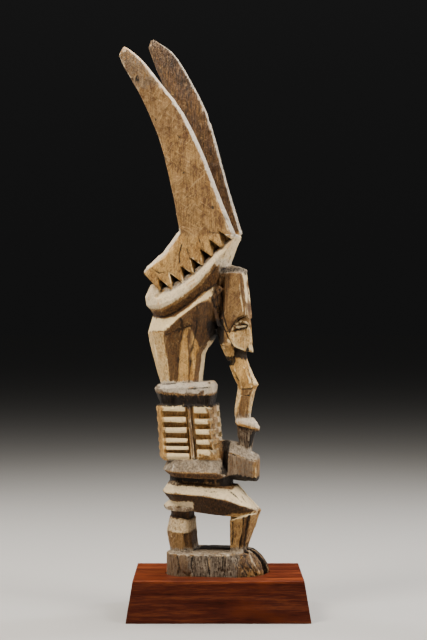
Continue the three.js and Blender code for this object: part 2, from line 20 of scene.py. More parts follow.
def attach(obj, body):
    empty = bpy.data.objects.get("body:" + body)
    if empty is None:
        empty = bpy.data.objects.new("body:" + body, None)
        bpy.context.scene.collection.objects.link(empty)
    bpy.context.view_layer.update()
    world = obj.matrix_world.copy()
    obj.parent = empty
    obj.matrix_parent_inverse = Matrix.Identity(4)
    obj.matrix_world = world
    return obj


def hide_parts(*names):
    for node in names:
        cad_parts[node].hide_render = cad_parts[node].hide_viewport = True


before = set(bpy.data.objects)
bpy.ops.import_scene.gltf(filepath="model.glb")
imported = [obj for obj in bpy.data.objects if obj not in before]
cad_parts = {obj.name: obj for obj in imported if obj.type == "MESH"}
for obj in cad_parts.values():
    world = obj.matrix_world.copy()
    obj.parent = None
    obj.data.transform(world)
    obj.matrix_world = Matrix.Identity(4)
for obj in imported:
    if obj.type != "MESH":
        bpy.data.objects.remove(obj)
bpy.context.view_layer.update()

MM = 0.001
TURN = math.radians(9)
SKIN_GRAIN = 0.62
MOST_TRIANGLES = 197000

# Heights of the slatted trunk's foot and top and of the horns' foot, and half the width of the trunk and of
# the ledge that the crest's teeth stand on
TRUNK_FOOT, TRUNK_TOP = 153, 208
HORNS_FROM = 374
TRUNK_HALF_WIDTH = 28
LEDGE_HALF_WIDTH = 31
# The steps of the trunk's front corner: where the lowest starts, and their rise
STEPS_FROM, STEP_RISE = 153.5, 10.3

# Boundaries that places of the carving share, as [u, z] paths
BRIM_FOOT = [(-53, 302.5), (-39, 309), (-23, 320.5), (-13, 329), (0, 346), (13, 360.5)]
UNDERCUT_RIM = [(-72, 300), (-53, 299.5), (-39, 306), (-23, 317), (-13, 325.5), (0, 342), (13, 357),
                (24, 368)]
BEHIND_HEAD = [(-14, 308.5), (-1, 312), (10, 292), (0, 278), (-9, 266)]
HEAD_BEVEL = [(28.4, 326.3), (29.9, 311.5), (35.3, 299.7)]
STEM_FACET = [(29.1, 255.1), (31.1, 241.2), (34.1, 234.3), (35.6, 227.3)]
PANEL_EDGE = [(36.1, 223.4), (33.6, 217.4), (32.1, 207.5), (30.1, 194.5)]

# Places of the carving as [u, z] outlines seen from its side, and what the years did to the wood there:
# bleached pale, greyed, left golden, stained brown, blackened by smoke, rubbed through to the yellow wood
# (ochre), or open: spared the darkening of shelter though it lies sheltered. The pale, brown and black also
# carry painted highlight and painted shade where a place's comment says so.
PLACES = [
    ("crest", [(-80, 330), (-34, 384), (30, 384), (20, 372), (-54, 316)], dict(gold=0.6, stain=0.26)),
    ("crest's bevelled back", [(-34.6, 382), (-33, 377), (-50.5, 355.5), (-62, 345.5), (-71.5, 336.5),
     (-80, 332), (-60, 362), (-45, 385)], dict(bleach=0.95, grey=0.7, gold=0)),
    ("crest's hind edge", [(-33.5, 379), (-31, 372), (-46, 351), (-58, 342), (-67, 335), (-71, 337),
     (-61, 345), (-50, 355)], dict(gold=0.9)),
    ("brim", [(-74, 308), (-76, 330), (-63, 329), (-53, 319), (-43, 321), (-30, 329), (-19, 337),
     (-9, 347), (0, 357), (8, 363), (17, 372), (23, 380), (26, 376), *BRIM_FOOT[::-1], (-70, 303)],
     dict(bleach=0.92, grey=0.36, stain=0.08, gold=0)),
    ("brim's worn lower edge", [(-72, 303), *BRIM_FOOT, (24, 374), *UNDERCUT_RIM[::-1]],
     dict(gold=0.3, stain=0.35, ochre=0.3)),
    # Partly painted shade: the undercut is darker wood, darkened further for the brim's shadow
    ("undercut", [*UNDERCUT_RIM, (16, 348), (7, 330), (-9, 320), (-24, 306), (-39, 296), (-54, 292.5),
     (-72, 295)], dict(stain=1.0, bleach=0, gold=0)),
    ("fore end of the undercut", [(-2, 349), (11, 365), (19, 379), (26, 378), (22, 364), (14, 352),
     (6, 343)], dict(bleach=0.8, grey=0.2, stain=0, open=0.6)),
    ("shoulder", [(-74, 279.5), (-74, 297), (-54, 292.5), (-38, 295), (-23, 305), (-8, 319), (1, 325),
     (-4, 313.5), (-13, 309), (-31, 296), (-47, 281)], dict(bleach=1.0, grey=0, gold=0.5, open=1, stain=0)),
    ("back of the neck", [(-74, 279.5), (-49, 280.5), (-49, 270), (-46, 250), (-44, 230), (-66, 227)],
     dict(gold=1.0, bleach=0.45, grey=0, open=1, stain=0)),
    ("light facet of the neck", [(-37, 228), (-34, 267), (-30, 281), (-24, 286), (-25, 262), (-27, 228)],
     dict(gold=1.0, grey=0, bleach=0.2, open=0.6)),
    ("fore facet of the neck", [(-26, 228), (-24, 262), (-20, 281), (-16, 270), (-19, 247), (-22, 228)],
     dict(gold=0.8, grey=0.1)),
    # Partly painted shade: the neck under the brim is darker wood, darkened further for the brim's shadow
    ("neck under the shoulder", [(-49, 280.5), (-32, 295), *BEHIND_HEAD, (-14, 259), (-16, 270),
     (-20, 281), (-24, 286), (-30, 281), (-34, 267), (-37, 226), (-44, 226), (-46, 250), (-49, 269)],
     dict(stain=0.72, bleach=0, gold=0.1)),
    # Painted shade in the hollow between the neck and the head
    ("neck close to the head", [(-24, 286), *BEHIND_HEAD, (-14, 262)], dict(stain=0.95, soot=0.35)),
    ("flute between the facets", [(-26, 284), (-22, 283), (-23.4, 262), (-25, 242), (-26.5, 262)],
     dict(stain=0.75, gold=0)),
    ("fore flute", [(-17.5, 262), (-13, 264), (-15.6, 247), (-18, 226), (-21.5, 226), (-19, 247)],
     dict(stain=0.8, gold=0)),
    # Painted light: the neck's front edge is pale as if lit from the right
    ("fore edge of the neck", [(-18.5, 226), (-15.5, 247), (-13, 264), (-5, 274), (4, 272), (4, 226)],
     dict(bleach=1.0, grey=0, gold=0.6, stain=0, open=1)),
    ("foot of the neck", [(-66, 226), (-66, 229.5), (-30, 230.5), (-10, 232.5), (-10, 226)],
     dict(bleach=0.55, grey=0.9)),
    ("ear", [(-5, 309), (2, 323), (8, 326), (9, 318), (4, 306)],
     dict(grey=0.5, stain=0.1, bleach=0.25, gold=0.5)),
    # Painted shade: the throat between the neck and the jaw is black
    ("throat", [(-8, 290), (8, 292), (8, 268), (-6, 268)], dict(soot=1.0)),
    ("head", [(0, 344), (34, 344), (36, 250), (4, 250), (0, 300)], dict(gold=0.35, stain=0.39)),
    # Painted shadow of the brim's end on the head beside the ear
    ("head beside the ear", [(0, 345), (14, 342), (14.9, 331), (11.9, 311.5), (9, 296.7), (5, 280),
     (1, 268), (-4, 300)], dict(stain=0.85, gold=0)),
    # Painted shade: the strip of the head's side beside its lit front bevel is brown
    ("fore part of the head's side", [(21, 340), (25.9, 340), *HEAD_BEVEL, (30, 300), (26.5, 311),
     (24.5, 326)], dict(stain=0.7, gold=0.1)),
    # Painted light: the head's front bevel is pale as if lit from the right
    ("head's front bevel", [(26, 345), (26, 338), *HEAD_BEVEL, (36.8, 293.8), (36.8, 268), (44, 268),
     (44, 300), (40, 345)], dict(bleach=1.0, grey=0.15, stain=0, open=0.5)),
    ("crown of the head", [(3, 350), (40, 350), (40, 338), (4, 338)],
     dict(bleach=0, grey=1.0, stain=0.3, soot=0.3, gold=0)),
    ("dark band of the crown", [(8, 343.3), (27.9, 344), (26.9, 339.1), (7, 339.2)], dict(soot=0.6)),
    # Painted highlight along the crown's top edge
    ("rim of the crown", [(2, 352), (38, 352), (38, 345.6), (2, 344.6)],
     dict(bleach=0.9, grey=0.6, stain=0, soot=0)),
    ("crown's fore corner", [(29, 350), (40, 350), (40, 341), (31, 341.5)],
     dict(bleach=0.95, grey=0.3, stain=0)),
    ("over the brow", [(15, 299), (24, 304), (31, 301), (31, 296.5), (24, 297.5), (16, 289)],
     dict(grey=0.3, stain=0.3)),
    ("upper lid", [(19.4, 288.4), (21.7, 290.5), (25.4, 291.4), (29.3, 290.5), (31.8, 287.8),
     (30.6, 286.9), (28.7, 289.1), (25.4, 289.8), (22.1, 289), (20, 287.2)],
     dict(bleach=1.0, grey=0, stain=0, open=1)),
    ("ball of the eye", [(20.1, 285.6), (23.6, 286.6), (29.8, 286.9), (30.6, 285), (23.6, 283.9),
     (20.1, 283.2)], dict(bleach=0.85, grey=0.1, stain=0, open=1)),
    ("cheek", [(12, 279), (35, 284), (35, 258), (17, 266)],
     dict(gold=1.0, grey=0, bleach=0.36, stain=0, open=0.5)),
    ("cheek's lower edge", [(11.9, 273), (15.7, 270.3), (21, 266.3), (26.3, 263.1), (30.7, 261.2),
     (30.7, 259.4), (26.3, 261), (21, 264), (15.7, 268), (11.9, 271)], dict(bleach=0.95, grey=0, gold=1)),
    ("mouth", [(17, 266), (31, 259.5), (29, 252), (18, 254)], dict(soot=1.0, gold=0)),
    ("tip of the nose", [(31.2, 259), (31.2, 266.5), (36.9, 266.9), (40, 266), (40, 258.6)],
     dict(bleach=0.95, grey=0.2, stain=0, open=0.5)),
    # Painted shade in the gap behind the tip of the nose
    ("behind the tip of the nose", [(28.3, 262.4), (30.9, 266.5), (31.5, 259), (29.5, 258.5)],
     dict(soot=0.85)),
    ("jaw", [(2, 270), (14, 268), (18, 256), (8, 256)], dict(gold=1.0, bleach=0.3, open=0.5)),
    # Painted shadow at the tip of the jaw
    ("tip of the jaw", [(8, 255.5), (20, 256), (18, 246), (8, 246)], dict(soot=0.9, gold=0)),
    ("collar's plate", [(-68, 220.5), (-68, 230), (-30, 231), (10, 234), (10, 218.5), (-14, 218),
     (-34, 218.6)], dict(bleach=0.92, grey=0.9, stain=0)),
    ("collar's dim rear", [(-68, 219), (-68, 226), (-56, 226.5), (-50, 222), (-50, 219)],
     dict(stain=0.35, bleach=0.3)),
    ("collar's dark corner", [(-14, 219), (-11.5, 226), (-8.5, 219)], dict(stain=0.95, bleach=0)),
    ("collar's fore bevel", [(-9, 229), (-4, 229.5), (8, 226), (8, 219), (-6, 219)],
     dict(bleach=1.0, grey=0.7, stain=0)),
    ("collar's worn lower edge", [(-68, 221.5), (-34, 219.8), (-14, 219.2), (10, 219.6), (10, 218),
     (-14, 217.4), (-34, 217.9), (-68, 219.8)], dict(stain=0.6, bleach=0.1, ochre=0.35)),
    # Painted shade: the cone under the collar's plate is near black
    ("collar's cone", [(-68, 219.8), (-34, 217.9), (-14, 217.4), (8, 218), (8, 206), (-68, 206)],
     dict(soot=0.95, grey=0.1, stain=0.6)),
    ("trunk behind the ladders", [(-70, 208), (-51.6, 208), (-46, 152), (-64, 152)],
     dict(ochre=0.3, gold=0.9, stain=0, open=1)),
    ("rear ladder", [(-51.6, 208), (-29.5, 208), (-25, 153), (-46, 153)],
     dict(bleach=1.0, grey=0, gold=0.6, open=1)),
    ("upright bar", [(-29.5, 208), (-26.6, 208), (-21.8, 153), (-25, 153)],
     dict(gold=1.0, bleach=0.75, grey=0, open=1)),
    ("fore side of the bar", [(-26.6, 208), (-24, 208), (-19, 153), (-21.8, 153)],
     dict(grey=0.6, stain=0.5, bleach=0)),
    ("fore ladder", [(-22, 208), (-5, 208), (4, 153), (-16, 153)],
     dict(bleach=1.0, grey=0, gold=0.9, open=1)),
    ("foot of the fore ladder", [(-16, 160), (0, 158.5), (6, 153), (-16, 152)], dict(stain=0.55, bleach=0)),
    ("fore corner", [(-5.5, 206), (2, 208), (9, 154), (1, 156), (-4, 183)],
     dict(grey=0.85, bleach=0.3, stain=0.1)),
    # Painted shade in the gap between the trunk and the box
    ("between trunk and box", [(5, 175), (13, 170), (12, 132), (6, 140)], dict(soot=0.85, bleach=0)),
    ("top of the hip ring", [(-46, 154), (6, 154), (13, 139), (2, 142), (-33, 142.3), (-58, 144)],
     dict(bleach=0.15, grey=1.0, stain=0.05)),
    ("edge of the hip ring", [(-58, 143.6), (-33, 141.6), (2, 141.3), (16, 138), (16, 133), (-49, 136)],
     dict(stain=1.0, gold=0, soot=0.1)),
    # Painted shadow: the waist under the hip ring is black at its top and brown at its foot
    ("waist", [(-50, 136.5), (15, 134.5), (14, 131), (-50, 132.2)], dict(soot=0.95, stain=0.9)),
    ("foot of the waist", [(-50, 132.2), (14, 131), (12, 126), (-50, 129)], dict(soot=0.4, stain=1.0)),
    ("top of the seat", [(-58, 122), (-46, 132), (21, 131), (50, 106), (42, 103), (29, 109.3), (14, 115.2),
     (-9, 119.4), (-29, 120.8)], dict(bleach=0.88, grey=0.3, gold=0.4)),
    # Painted shadow of the waist on the seat's top
    ("under the waist", [(-35, 131.5), (10, 130.4), (19, 128.5), (16, 124.5), (-10, 127), (-35, 129.4)],
     dict(stain=0.75, bleach=0.1)),
    ("thigh", [(22, 132), (50, 106), (44, 102), (20, 124)], dict(bleach=0.85, grey=0.4)),
    # Painted shadow under the seat
    ("under the seat", [(-58, 121.4), (-29, 120.2), (-9, 118.9), (14, 114.7), (29, 108.8), (46, 101),
     (46, 94), (-60, 94), (-60, 108)], dict(stain=1.0, gold=0, soot=0.5)),
    ("top of the stool's cap", [(-56, 107.2), (-56, 113), (-20, 113), (-20, 106.6), (-34, 107.4)],
     dict(bleach=1.0, grey=0.3, stain=0, soot=0, open=1)),
    ("side of the stool's cap", [(-56, 101), (-56, 107.2), (-34, 107.4), (-20, 106.6), (-19, 100)],
     dict(stain=0.25, grey=0.6, bleach=0.3, soot=0, open=0.6)),
    # Painted shadow in the stool's neck under its cap
    ("stool's neck", [(-56, 95.5), (-56, 102.6), (-19, 101.5), (-19, 92.4), (-32, 94.8)],
     dict(stain=1.0, soot=0.5)),
    ("stool's upper block", [(-56, 96), (-32, 95), (-19, 92), (-19, 81), (-30, 80.7), (-37, 83),
     (-56, 81)], dict(bleach=0.5, grey=0.4, stain=0, gold=0.6, soot=0)),
    ("stool's lower block", [(-56, 82), (-37, 83.4), (-30, 80.7), (-19, 81), (-19, 62), (-56, 62)],
     dict(stain=0.4, gold=0.35, soot=0)),
    ("fore side of the stool", [(-21, 94), (-14, 94), (-14, 62), (-21, 62)],
     dict(stain=0.9, bleach=0, soot=0.2)),
    # Painted shade inside the stool's sunk panel
    ("sunk panel", [(-30.6, 81), (-21, 81), (-20, 64), (-30.6, 64)], dict(stain=1.0, soot=0.25)),
    ("shins", [(10, 100), (46, 104), (46, 62), (10, 62)], dict(stain=0.25, gold=0.5, soot=0)),
    ("shin's dark side", [(31.5, 99), (36.5, 101.5), (34, 88), (30.5, 76), (27.5, 66), (22.5, 66),
     (26.5, 80), (29.5, 92)], dict(stain=0.85)),
    # Painted highlight on the shin's thin top ledge
    ("ledge of the shin", [(12, 93.6), (38, 100.6), (38, 102.4), (12, 95.8)],
     dict(bleach=1.0, soot=0, stain=0)),
    ("top of the base", [(-60, 60.5), (-60, 66), (40, 68), (40, 62), (10, 61)],
     dict(bleach=0.25, grey=0.8, stain=0.15)),
    ("side of the base", [(-60, 60.5), (10, 60.5), (40, 61.5), (54, 50), (54, 30), (-60, 30)],
     dict(grey=1.0, stain=0.42, soot=0.4, gold=0, bleach=0)),
    ("rear of the base's side", [(-60, 60.5), (-26, 60.5), (-20, 36), (-60, 36)],
     dict(grey=0.6, stain=0.5, soot=0.1)),
    ("toes", [(26, 62), (40, 62), (56, 50), (56, 36), (22, 36)], dict(stain=0.55, grey=0.4, bleach=0)),
    ("rubbed toes", [(33, 45), (54, 45), (54, 36), (31, 36)], dict(ochre=0.6, stain=0.4)),
    # Painted highlight along the ridge of the foot
    ("ridge along the foot", [(30.4, 65), (31.6, 64.4), (44.4, 42), (43.4, 41.6)],
     dict(bleach=0.6, grey=0.6, stain=0, soot=0)),
    ("rubbed streak", [(-4.8, 58), (-4.2, 58), (-2.9, 50), (-2, 40), (-2.7, 40), (-3.5, 48)],
     dict(ochre=0.4, bleach=0.6, grey=0.2, soot=0, stain=0)),
    ("lid of the box", [(4, 174), (20, 174), (48, 162), (48, 153), (33, 154.2), (21, 158), (10, 161.8)],
     dict(bleach=0.3, grey=1.0, open=1, stain=0.1)),
    ("side of the box", [(6, 161.4), (10, 161.4), (21, 157.6), (33, 153.8), (44, 151.6), (44, 131),
     (8, 131)], dict(grey=0.7, stain=0.5, gold=0.3)),
    ("fore arris of the box", [(37.6, 152), (46, 152), (46, 131), (37.6, 131)],
     dict(ochre=0.2, stain=0.5, grey=0.2, gold=0.5)),
    # Painted shadow: the box's lower bevel is black
    ("underside of the box", [(6, 136), (18.5, 139.6), (40, 135.6), (46, 135), (46, 128), (6, 128)],
     dict(soot=1.0, bleach=0)),
    ("lid of the bowl", [(14, 199), (48, 199), (48, 184), (43.4, 182.1), (38.6, 185), (30.6, 187.9),
     (21.6, 188.6), (14, 190.7)], dict(bleach=1.0, grey=0.7, stain=0, open=1)),
    ("rim of the bowl", [(14, 190.5), (21.6, 188.3), (30.6, 187.9), (38.6, 185), (41, 183), (33.6, 184),
     (27.6, 186), (14, 187)], dict(ochre=0.6, stain=0.4, gold=0.6)),
    ("cup of the bowl", [(14, 188), (20, 187.6), (35, 183.2), (42, 180), (37, 162), (20, 168)],
     dict(grey=0.85, stain=0.7, soot=0.4, bleach=0)),
    ("dark side of the cup", [(42, 183), (35.3, 180.8), (32.8, 175.9), (31.3, 166.9), (33.6, 166.9),
     (35.6, 173.9), (42, 181)], dict(soot=0.95)),
    ("stem", [(10, 262), (34, 262), (48, 226), (40, 194), (14, 194), (14, 225)],
     dict(gold=1.0, stain=0.08, bleach=0.1)),
    ("fore bevel of the stem", [*STEM_FACET, (48, 228), (38, 242), (34, 256)],
     dict(bleach=0.6, grey=0, gold=1)),
    ("lower stem", [(20, 219), (38, 222), (34, 194), (17, 194)], dict(stain=0.1, gold=0.8)),
    ("rear bevel of the stem", [(24.1, 223.3), (24.1, 215.3), (22, 207.4), (19, 198.4), (12, 198),
     (14, 207), (14, 222)], dict(bleach=0.6, grey=0, gold=1, stain=0)),
    ("stem's sunk panel", [(24.1, 223.3), (24.1, 215.3), (22, 207.4), (19, 196), *PANEL_EDGE[::-1]],
     dict(stain=0.6, gold=0.4, bleach=0)),
    ("stem's fore edge", [*PANEL_EDGE, (36, 194.5), (38, 207), (40, 217), (44, 225)],
     dict(bleach=0.5, gold=0.8, stain=0)),
]
# The ledge that the crest's teeth stand on, seen between them
LEDGE = [(-66, 331), (-53, 318), (-43, 320), (-30, 328), (-19, 336), (-9, 346), (0, 356), (8, 362), (18, 372),
         (15, 381), (4, 371), (-6, 360), (-18, 349), (-30, 340), (-44, 332), (-56, 334)]
# Places that one horn has, and the edges of its blade
HORN_PLACES = {
    -1: [
        ("side", [(-110, 590), (60, 590), (60, 374), (-110, 374)], dict(stain=0.2, gold=0.3)),
        ("upper half", [(-110, 590), (-30, 590), (-18, 478), (-84, 462)],
         dict(grey=0.25, stain=0.25, gold=0.22)),
        ("upper part", [(-110, 590), (-36, 590), (-40, 530), (-95, 510)],
         dict(grey=0.5, stain=0.3, gold=0.1)),
        ("tip", [(-98, 566), (-84, 566), (-66, 547), (-76, 543), (-92, 547)], dict(grey=0.7, ochre=0.4)),
        ("back edge", [(-91, 548), (-72, 509), (-55, 468), (-44, 422), (-37, 382), (-34, 384), (-41, 424),
         (-51, 468), (-68, 508), (-86, 544)], dict(ochre=0.4)),
    ],
    1: [
        # Partly painted shade: the far horn's inner face and end are darker wood, darkened further for the
        # near horn's shade
        ("inner face", [(-84, 586), (-40, 586), (30, 380), (-50, 380)],
         dict(stain=0.74, grey=0.35, soot=0.36, gold=0.3, bleach=0)),
        ("end", [(-84, 586), (-66, 586), (-46, 569), (-28, 537), (-33, 515), (-54, 546), (-74, 564)],
         dict(grey=0.6, stain=0.8, soot=0.45, bleach=0)),
    ],
}
# The front edge of each horn, and how wide its pale bevel is there: (u, z, width). The bevel's pale is worn
# wood and a painted highlight.
HORN_FRONTS = {
    -1: [(20.6, 376.6, 3.2), (6.8, 410, 3.2), (-9.1, 452.4, 3.1), (-29.5, 495, 2.9), (-53, 526.3, 2.2),
         (-70, 547.6, 1.6), (-83.5, 559, 1.0)],
    1: [(21.4, 379, 2.0), (10.4, 413.3, 1.8), (-2, 456.4, 1.6), (-15.6, 501.8, 1.6), (-35.5, 540.4, 1.6),
        (-51, 564, 1.4), (-64.5, 574.6, 1.2)],
}
# Lines cut or cracked into the sides as [u, z] paths: width, depth, and the sides that have them
LINES = {
    "brow": ([(14.4, 282.4), (16.6, 285.9), (19.2, 289.8), (22.3, 292.8), (26.3, 295), (29.8, 295.3),
     (32.5, 293.3), (33.4, 290.8)], 1.1, 1.6, (-1, 1)),
    "eye slit": ([(20.1, 286.1), (22.8, 287), (27.2, 287.5), (30.3, 287.2)], 0.8, 1.6, (-1, 1)),
    "under the eye": ([(18.8, 280.9), (21.4, 282.4), (24.5, 282.7), (29, 283.7), (31.6, 285)],
     1.4, 2.0, (-1, 1)),
    "temple": ([(14.4, 282.9), (14.7, 280.5), (11, 280.5)], 0.8, 1.0, (-1, 1)),
    "before the eye": ([(33.9, 289.8), (35.4, 276.9), (35.9, 267.9)], 0.6, 0.6, (-1, 1)),
    "tip of the nose": ([(31, 259), (31, 266.8), (36.9, 267.2)], 0.9, 1.2, (-1, 1)),
    "behind the ear": ([(-3, 312), (1, 303), (5, 291), (9, 282), (14, 272), (17, 266)], 0.8, 1.0, (-1, 1)),
    "below the ear": ([(5, 322), (7, 311), (7, 299), (11, 286), (14, 279)], 0.8, 0.9, (-1, 1)),
    "beside the ear": ([(1, 320), (2, 309), (6, 296)], 0.7, 0.8, (-1,)),
    "under the lid of the box": ([(8, 161.4), (21, 157.4), (33, 153.8), (41, 152)], 0.7, 0.9, (-1, 1)),
    "under the rim of the bowl": ([(20, 185.6), (27.6, 185.4), (33.6, 183.4), (40, 182.6)],
     0.8, 0.8, (-1, 1)),
    "stem's ragged edge": ([(14, 242.1), (19, 236.2), (22, 231.2)], 0.9, 0.8, (-1,)),
    "elbow of the stem": ([(24.1, 223.3), (34.1, 223.4), (38.1, 225.4)], 0.8, 0.8, (-1, 1)),
    "cut across the stem": ([(24.1, 216.8), (32.1, 216.9)], 0.6, 0.6, (-1, 1)),
    "facet of the stem": (STEM_FACET, 0.6, 0.5, (-1, 1)),
    "collar's long crack": ([(-26, 223.6), (-16, 224.6), (-5, 225.2)], 0.6, 0.7, (-1,)),
    "crack in the thigh": ([(13, 124), (20, 118.5), (27, 112.5)], 0.6, 0.9, (-1,)),
    "short crack in the thigh": ([(26, 117), (31, 111)], 0.5, 0.7, (-1,)),
    "check in the seat": ([(-9, 123.6), (-3, 122.6), (3, 123)], 0.5, 0.6, (-1,)),
    "check in the back of the base": ([(-36, 59), (-34, 48), (-35, 40)], 0.6, 0.9, (-1,)),
    "check in the base": ([(-20, 60), (-22, 50), (-19, 41)], 0.7, 1.0, (-1, 1)),
    "check by the rubbed streak": ([(-7, 60), (-4.5, 50), (-3.6, 42)], 0.6, 1.0, (-1,)),
    "fore check in the base": ([(10, 60), (9, 50), (12, 40)], 0.6, 0.9, (-1, 1)),
    "check in the crest": ([(-32, 366), (-35, 356), (-34, 347)], 0.6, 0.9, (-1,)),
    "short check in the crest": ([(-27, 362), (-24, 352)], 0.6, 0.8, (-1,)),
    "fore check in the crest": ([(-15, 372), (-11, 361)], 0.5, 0.7, (-1, 1)),
    "crest's rear crack": ([(-62, 343), (-55, 338), (-49, 339)], 0.6, 0.8, (-1,)),
    "shin's dark streak": ([(29.5, 98), (27.5, 84), (24, 66)], 0.9, 0.7, (-1, 1)),
    "shin's fore streak": ([(34.8, 101), (31.5, 86), (28, 66)], 1.3, 0.9, (-1, 1)),
    "groove of the foot": ([(27.8, 62), (34, 52), (40.5, 41)], 0.8, 0.8, (-1, 1)),
    "rear groove of the foot": ([(23, 58), (28, 50), (33, 41)], 0.7, 0.7, (-1, 1)),
    "shin's rear streak": ([(18, 93), (18, 80), (16.5, 70)], 0.6, 0.5, (-1,)),
    "nick in the neck's edge": ([(-10.5, 268), (-12, 261)], 0.8, 1.2, (-1,)),
}
# The ladders of slots in the trunk's sides, as the solid has them: (rear, fore) of a ladder and each slot's
# (low, high). The trunk leans forward by LADDER_LEAN as it goes down.
LADDERS = [((-51.4, -30.2), [(196.1, 201.4), (185.8, 190.5), (175, 180.2), (167.1, 170.8), (160.2, 163.6)]),
           ((-20.4, -6.3), [(194.4, 199.7), (184.1, 188.9), (173.8, 179), (163.9, 169.2)])]
LADDER_LEAN = 0.085
# Dark bruises on the near horn: (u, z, radius)
BRUISES = [(-75.5, 529.5, 3.2), (-57, 489, 1.8), (-34, 472, 1.8), (-1, 402, 2.0), (-48, 451, 1.4),
           (-30, 437, 2.2)]


# Numbers that look random and are the same in every run

def lattice(cells, seed):
    """A number from 0 to 1 for each whole-numbered cell."""
    mixed = cells @ np.array([374761393, 668265263, 2147483647]) + seed * 1274126177
    mixed = (mixed ^ (mixed >> 13)) * 1274126177
    mixed = mixed ^ (mixed >> 16)
    return (mixed & 0xFFFFFF) / 0xFFFFFF


def noise(points, size, seed):
    """Smooth noise from -1 to 1 with bumps of that size."""
    scaled = points / np.asarray(size, float)
    low = np.floor(scaled).astype(np.int64)
    share = scaled - low
    share = share * share * (3 - 2 * share)
    total = np.zeros(len(points))
    for corner in np.ndindex(2, 2, 2):
        weight = np.prod(np.where(corner, share, 1 - share), axis=1)
        total += weight * lattice(low + corner, seed)
    return 2 * total - 1


def blade_cuts(points, size, seed):
    """Flat cuts of that size, each tilted its own way: how far they push each point out, as a share of the
    size."""
    scaled = points / np.asarray(size, float)
    low = np.floor(scaled).astype(np.int64)
    nearest = np.full(len(points), 9.0)
    tilt = np.zeros(len(points))
    for corner in np.ndindex(3, 3, 3):
        cell = low + np.array(corner) - 1
        away = scaled - cell - np.stack([lattice(cell, seed + axis) for axis in range(3)], 1)
        distance = (away ** 2).sum(1)
        slope = np.stack([lattice(cell, seed + 3 + axis) for axis in range(3)], 1) * 2 - 1
        closer = distance < nearest
        nearest = np.where(closer, distance, nearest)
        tilt = np.where(closer, (away * slope).sum(1), tilt)
    return tilt


def ramp(value, low, high):
    """0 below low, 1 above high, smooth between; the other way round where low is the greater."""
    share = np.clip((value - low) / (high - low), 0, 1)
    return share * share * (3 - 2 * share)


def between(values, low, high):
    """Where the values lie between two limits."""
    return (values > low) & (values < high)


def down_trunk(u, z):
    """How far forward each place would be if the trunk stood upright."""
    return u - LADDER_LEAN * (TRUNK_TOP - z)


def inside_outline(u, z, outline):
    """How far each [u, z] place lies inside a closed outline; less than nothing outside it."""
    odd = np.zeros(len(u), bool)
    for (u0, z0), (u1, z1) in zip(outline, outline[1:] + outline[:1]):
        if z0 != z1:
            odd ^= ((z0 > z) != (z1 > z)) & (u < u0 + (z - z0) / (z1 - z0) * (u1 - u0))
    edge = off_path(u, z, outline + outline[:1])
    return np.where(odd, edge, -edge)


def off_path(u, z, path):
    """How far each [u, z] place is from a path of straight stretches."""
    nearest = np.full(len(u), 1e9)
    for (u0, z0), (u1, z1) in zip(path, path[1:]):
        along = np.array([u1 - u0, z1 - z0])
        share = np.clip(((u - u0) * along[0] + (z - z0) * along[1]) / (along @ along), 0, 1)
        nearest = np.minimum(nearest, np.hypot(u - u0 - share * along[0], z - z0 - share * along[1]))
    return nearest


# The skin

def applied(piece):
    """Gives the piece its mesh as its modifiers leave it."""
    graph = bpy.context.evaluated_depsgraph_get()
    mesh = bpy.data.meshes.new_from_object(piece.evaluated_get(graph), depsgraph=graph)
    piece.modifiers.clear()
    piece.data = mesh


def copy_of_node(name):
    """A piece with the node's mesh, its doubled corners merged."""
    mesh = bpy.data.meshes.new(name + "_carving")
    shape = bmesh.new()
    shape.from_mesh(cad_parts[name].data)
    bmesh.ops.remove_doubles(shape, verts=shape.verts, dist=0.005 * MM)
    shape.to_mesh(mesh)
    shape.free()
    piece = bpy.data.objects.new(name + "_carving", mesh)
    bpy.context.scene.collection.objects.link(piece)
    return piece


class Skin:
    """A piece's points in mm in the figure's own directions, and what is worked out from them."""

    def __init__(self, piece):
        self.mesh = piece.data
        self.count = len(self.mesh.vertices)
        flat = np.empty(self.count * 3)
        self.mesh.vertices.foreach_get("co", flat)
        self.points = self.turned(flat.reshape(-1, 3) / MM, 1)
        ends = np.empty(len(self.mesh.edges) * 2, int)
        self.mesh.edges.foreach_get("vertices", ends)
        self.ends = ends.reshape(-1, 2).T
        self.degree = np.bincount(ends, minlength=self.count)

    @staticmethod
    def turned(points, way):
        """Points turned from the part's directions to the figure's own, or back where way is -1."""
        x, y, z = points.T
        c, s = math.cos(TURN), way * math.sin(TURN)
        return np.stack([x * c - y * s, x * s + y * c, z], 1)

    def put_back(self):
        self.mesh.vertices.foreach_set("co", (self.turned(self.points, -1) * MM).ravel())
        self.mesh.update()

    def normals(self):
        self.put_back()
        flat = np.empty(self.count * 3, np.float32)
        self.mesh.vertex_normals.foreach_get("vector", flat)
        return self.turned(flat.reshape(-1, 3).astype(float), 1)

    def averaged(self, values, rounds):
        """Values that have run together with their neighbours' for a number of rounds."""
        a, b = self.ends
        for _ in range(rounds):
            beside = np.bincount(a, values[b], self.count) + np.bincount(b, values[a], self.count)
            values = (values + beside) / (1 + self.degree)
        return values

    def sink(self, depth):
        """Cuts in from the surface by that depth, or builds out where it is less than nothing."""
        self.points -= self.normals() * depth[:, None]

    def scoop(self, middle, radius, stretch):
        """Cuts away what is inside a ball that is drawn out along the figure's directions."""
        away = (self.points - middle) / stretch
        reach = np.linalg.norm(away, axis=1)
        touched = (reach < radius) & (reach > 0)
        self.points[touched] += (away[touched] * (radius / reach[touched] - 1)[:, None]) * stretch

    def keep(self, name, values):
        layer = self.mesh.attributes.new(name, "FLOAT", "POINT")
        layer.data.foreach_set("value", np.clip(values, 0, 1).astype(np.float32))


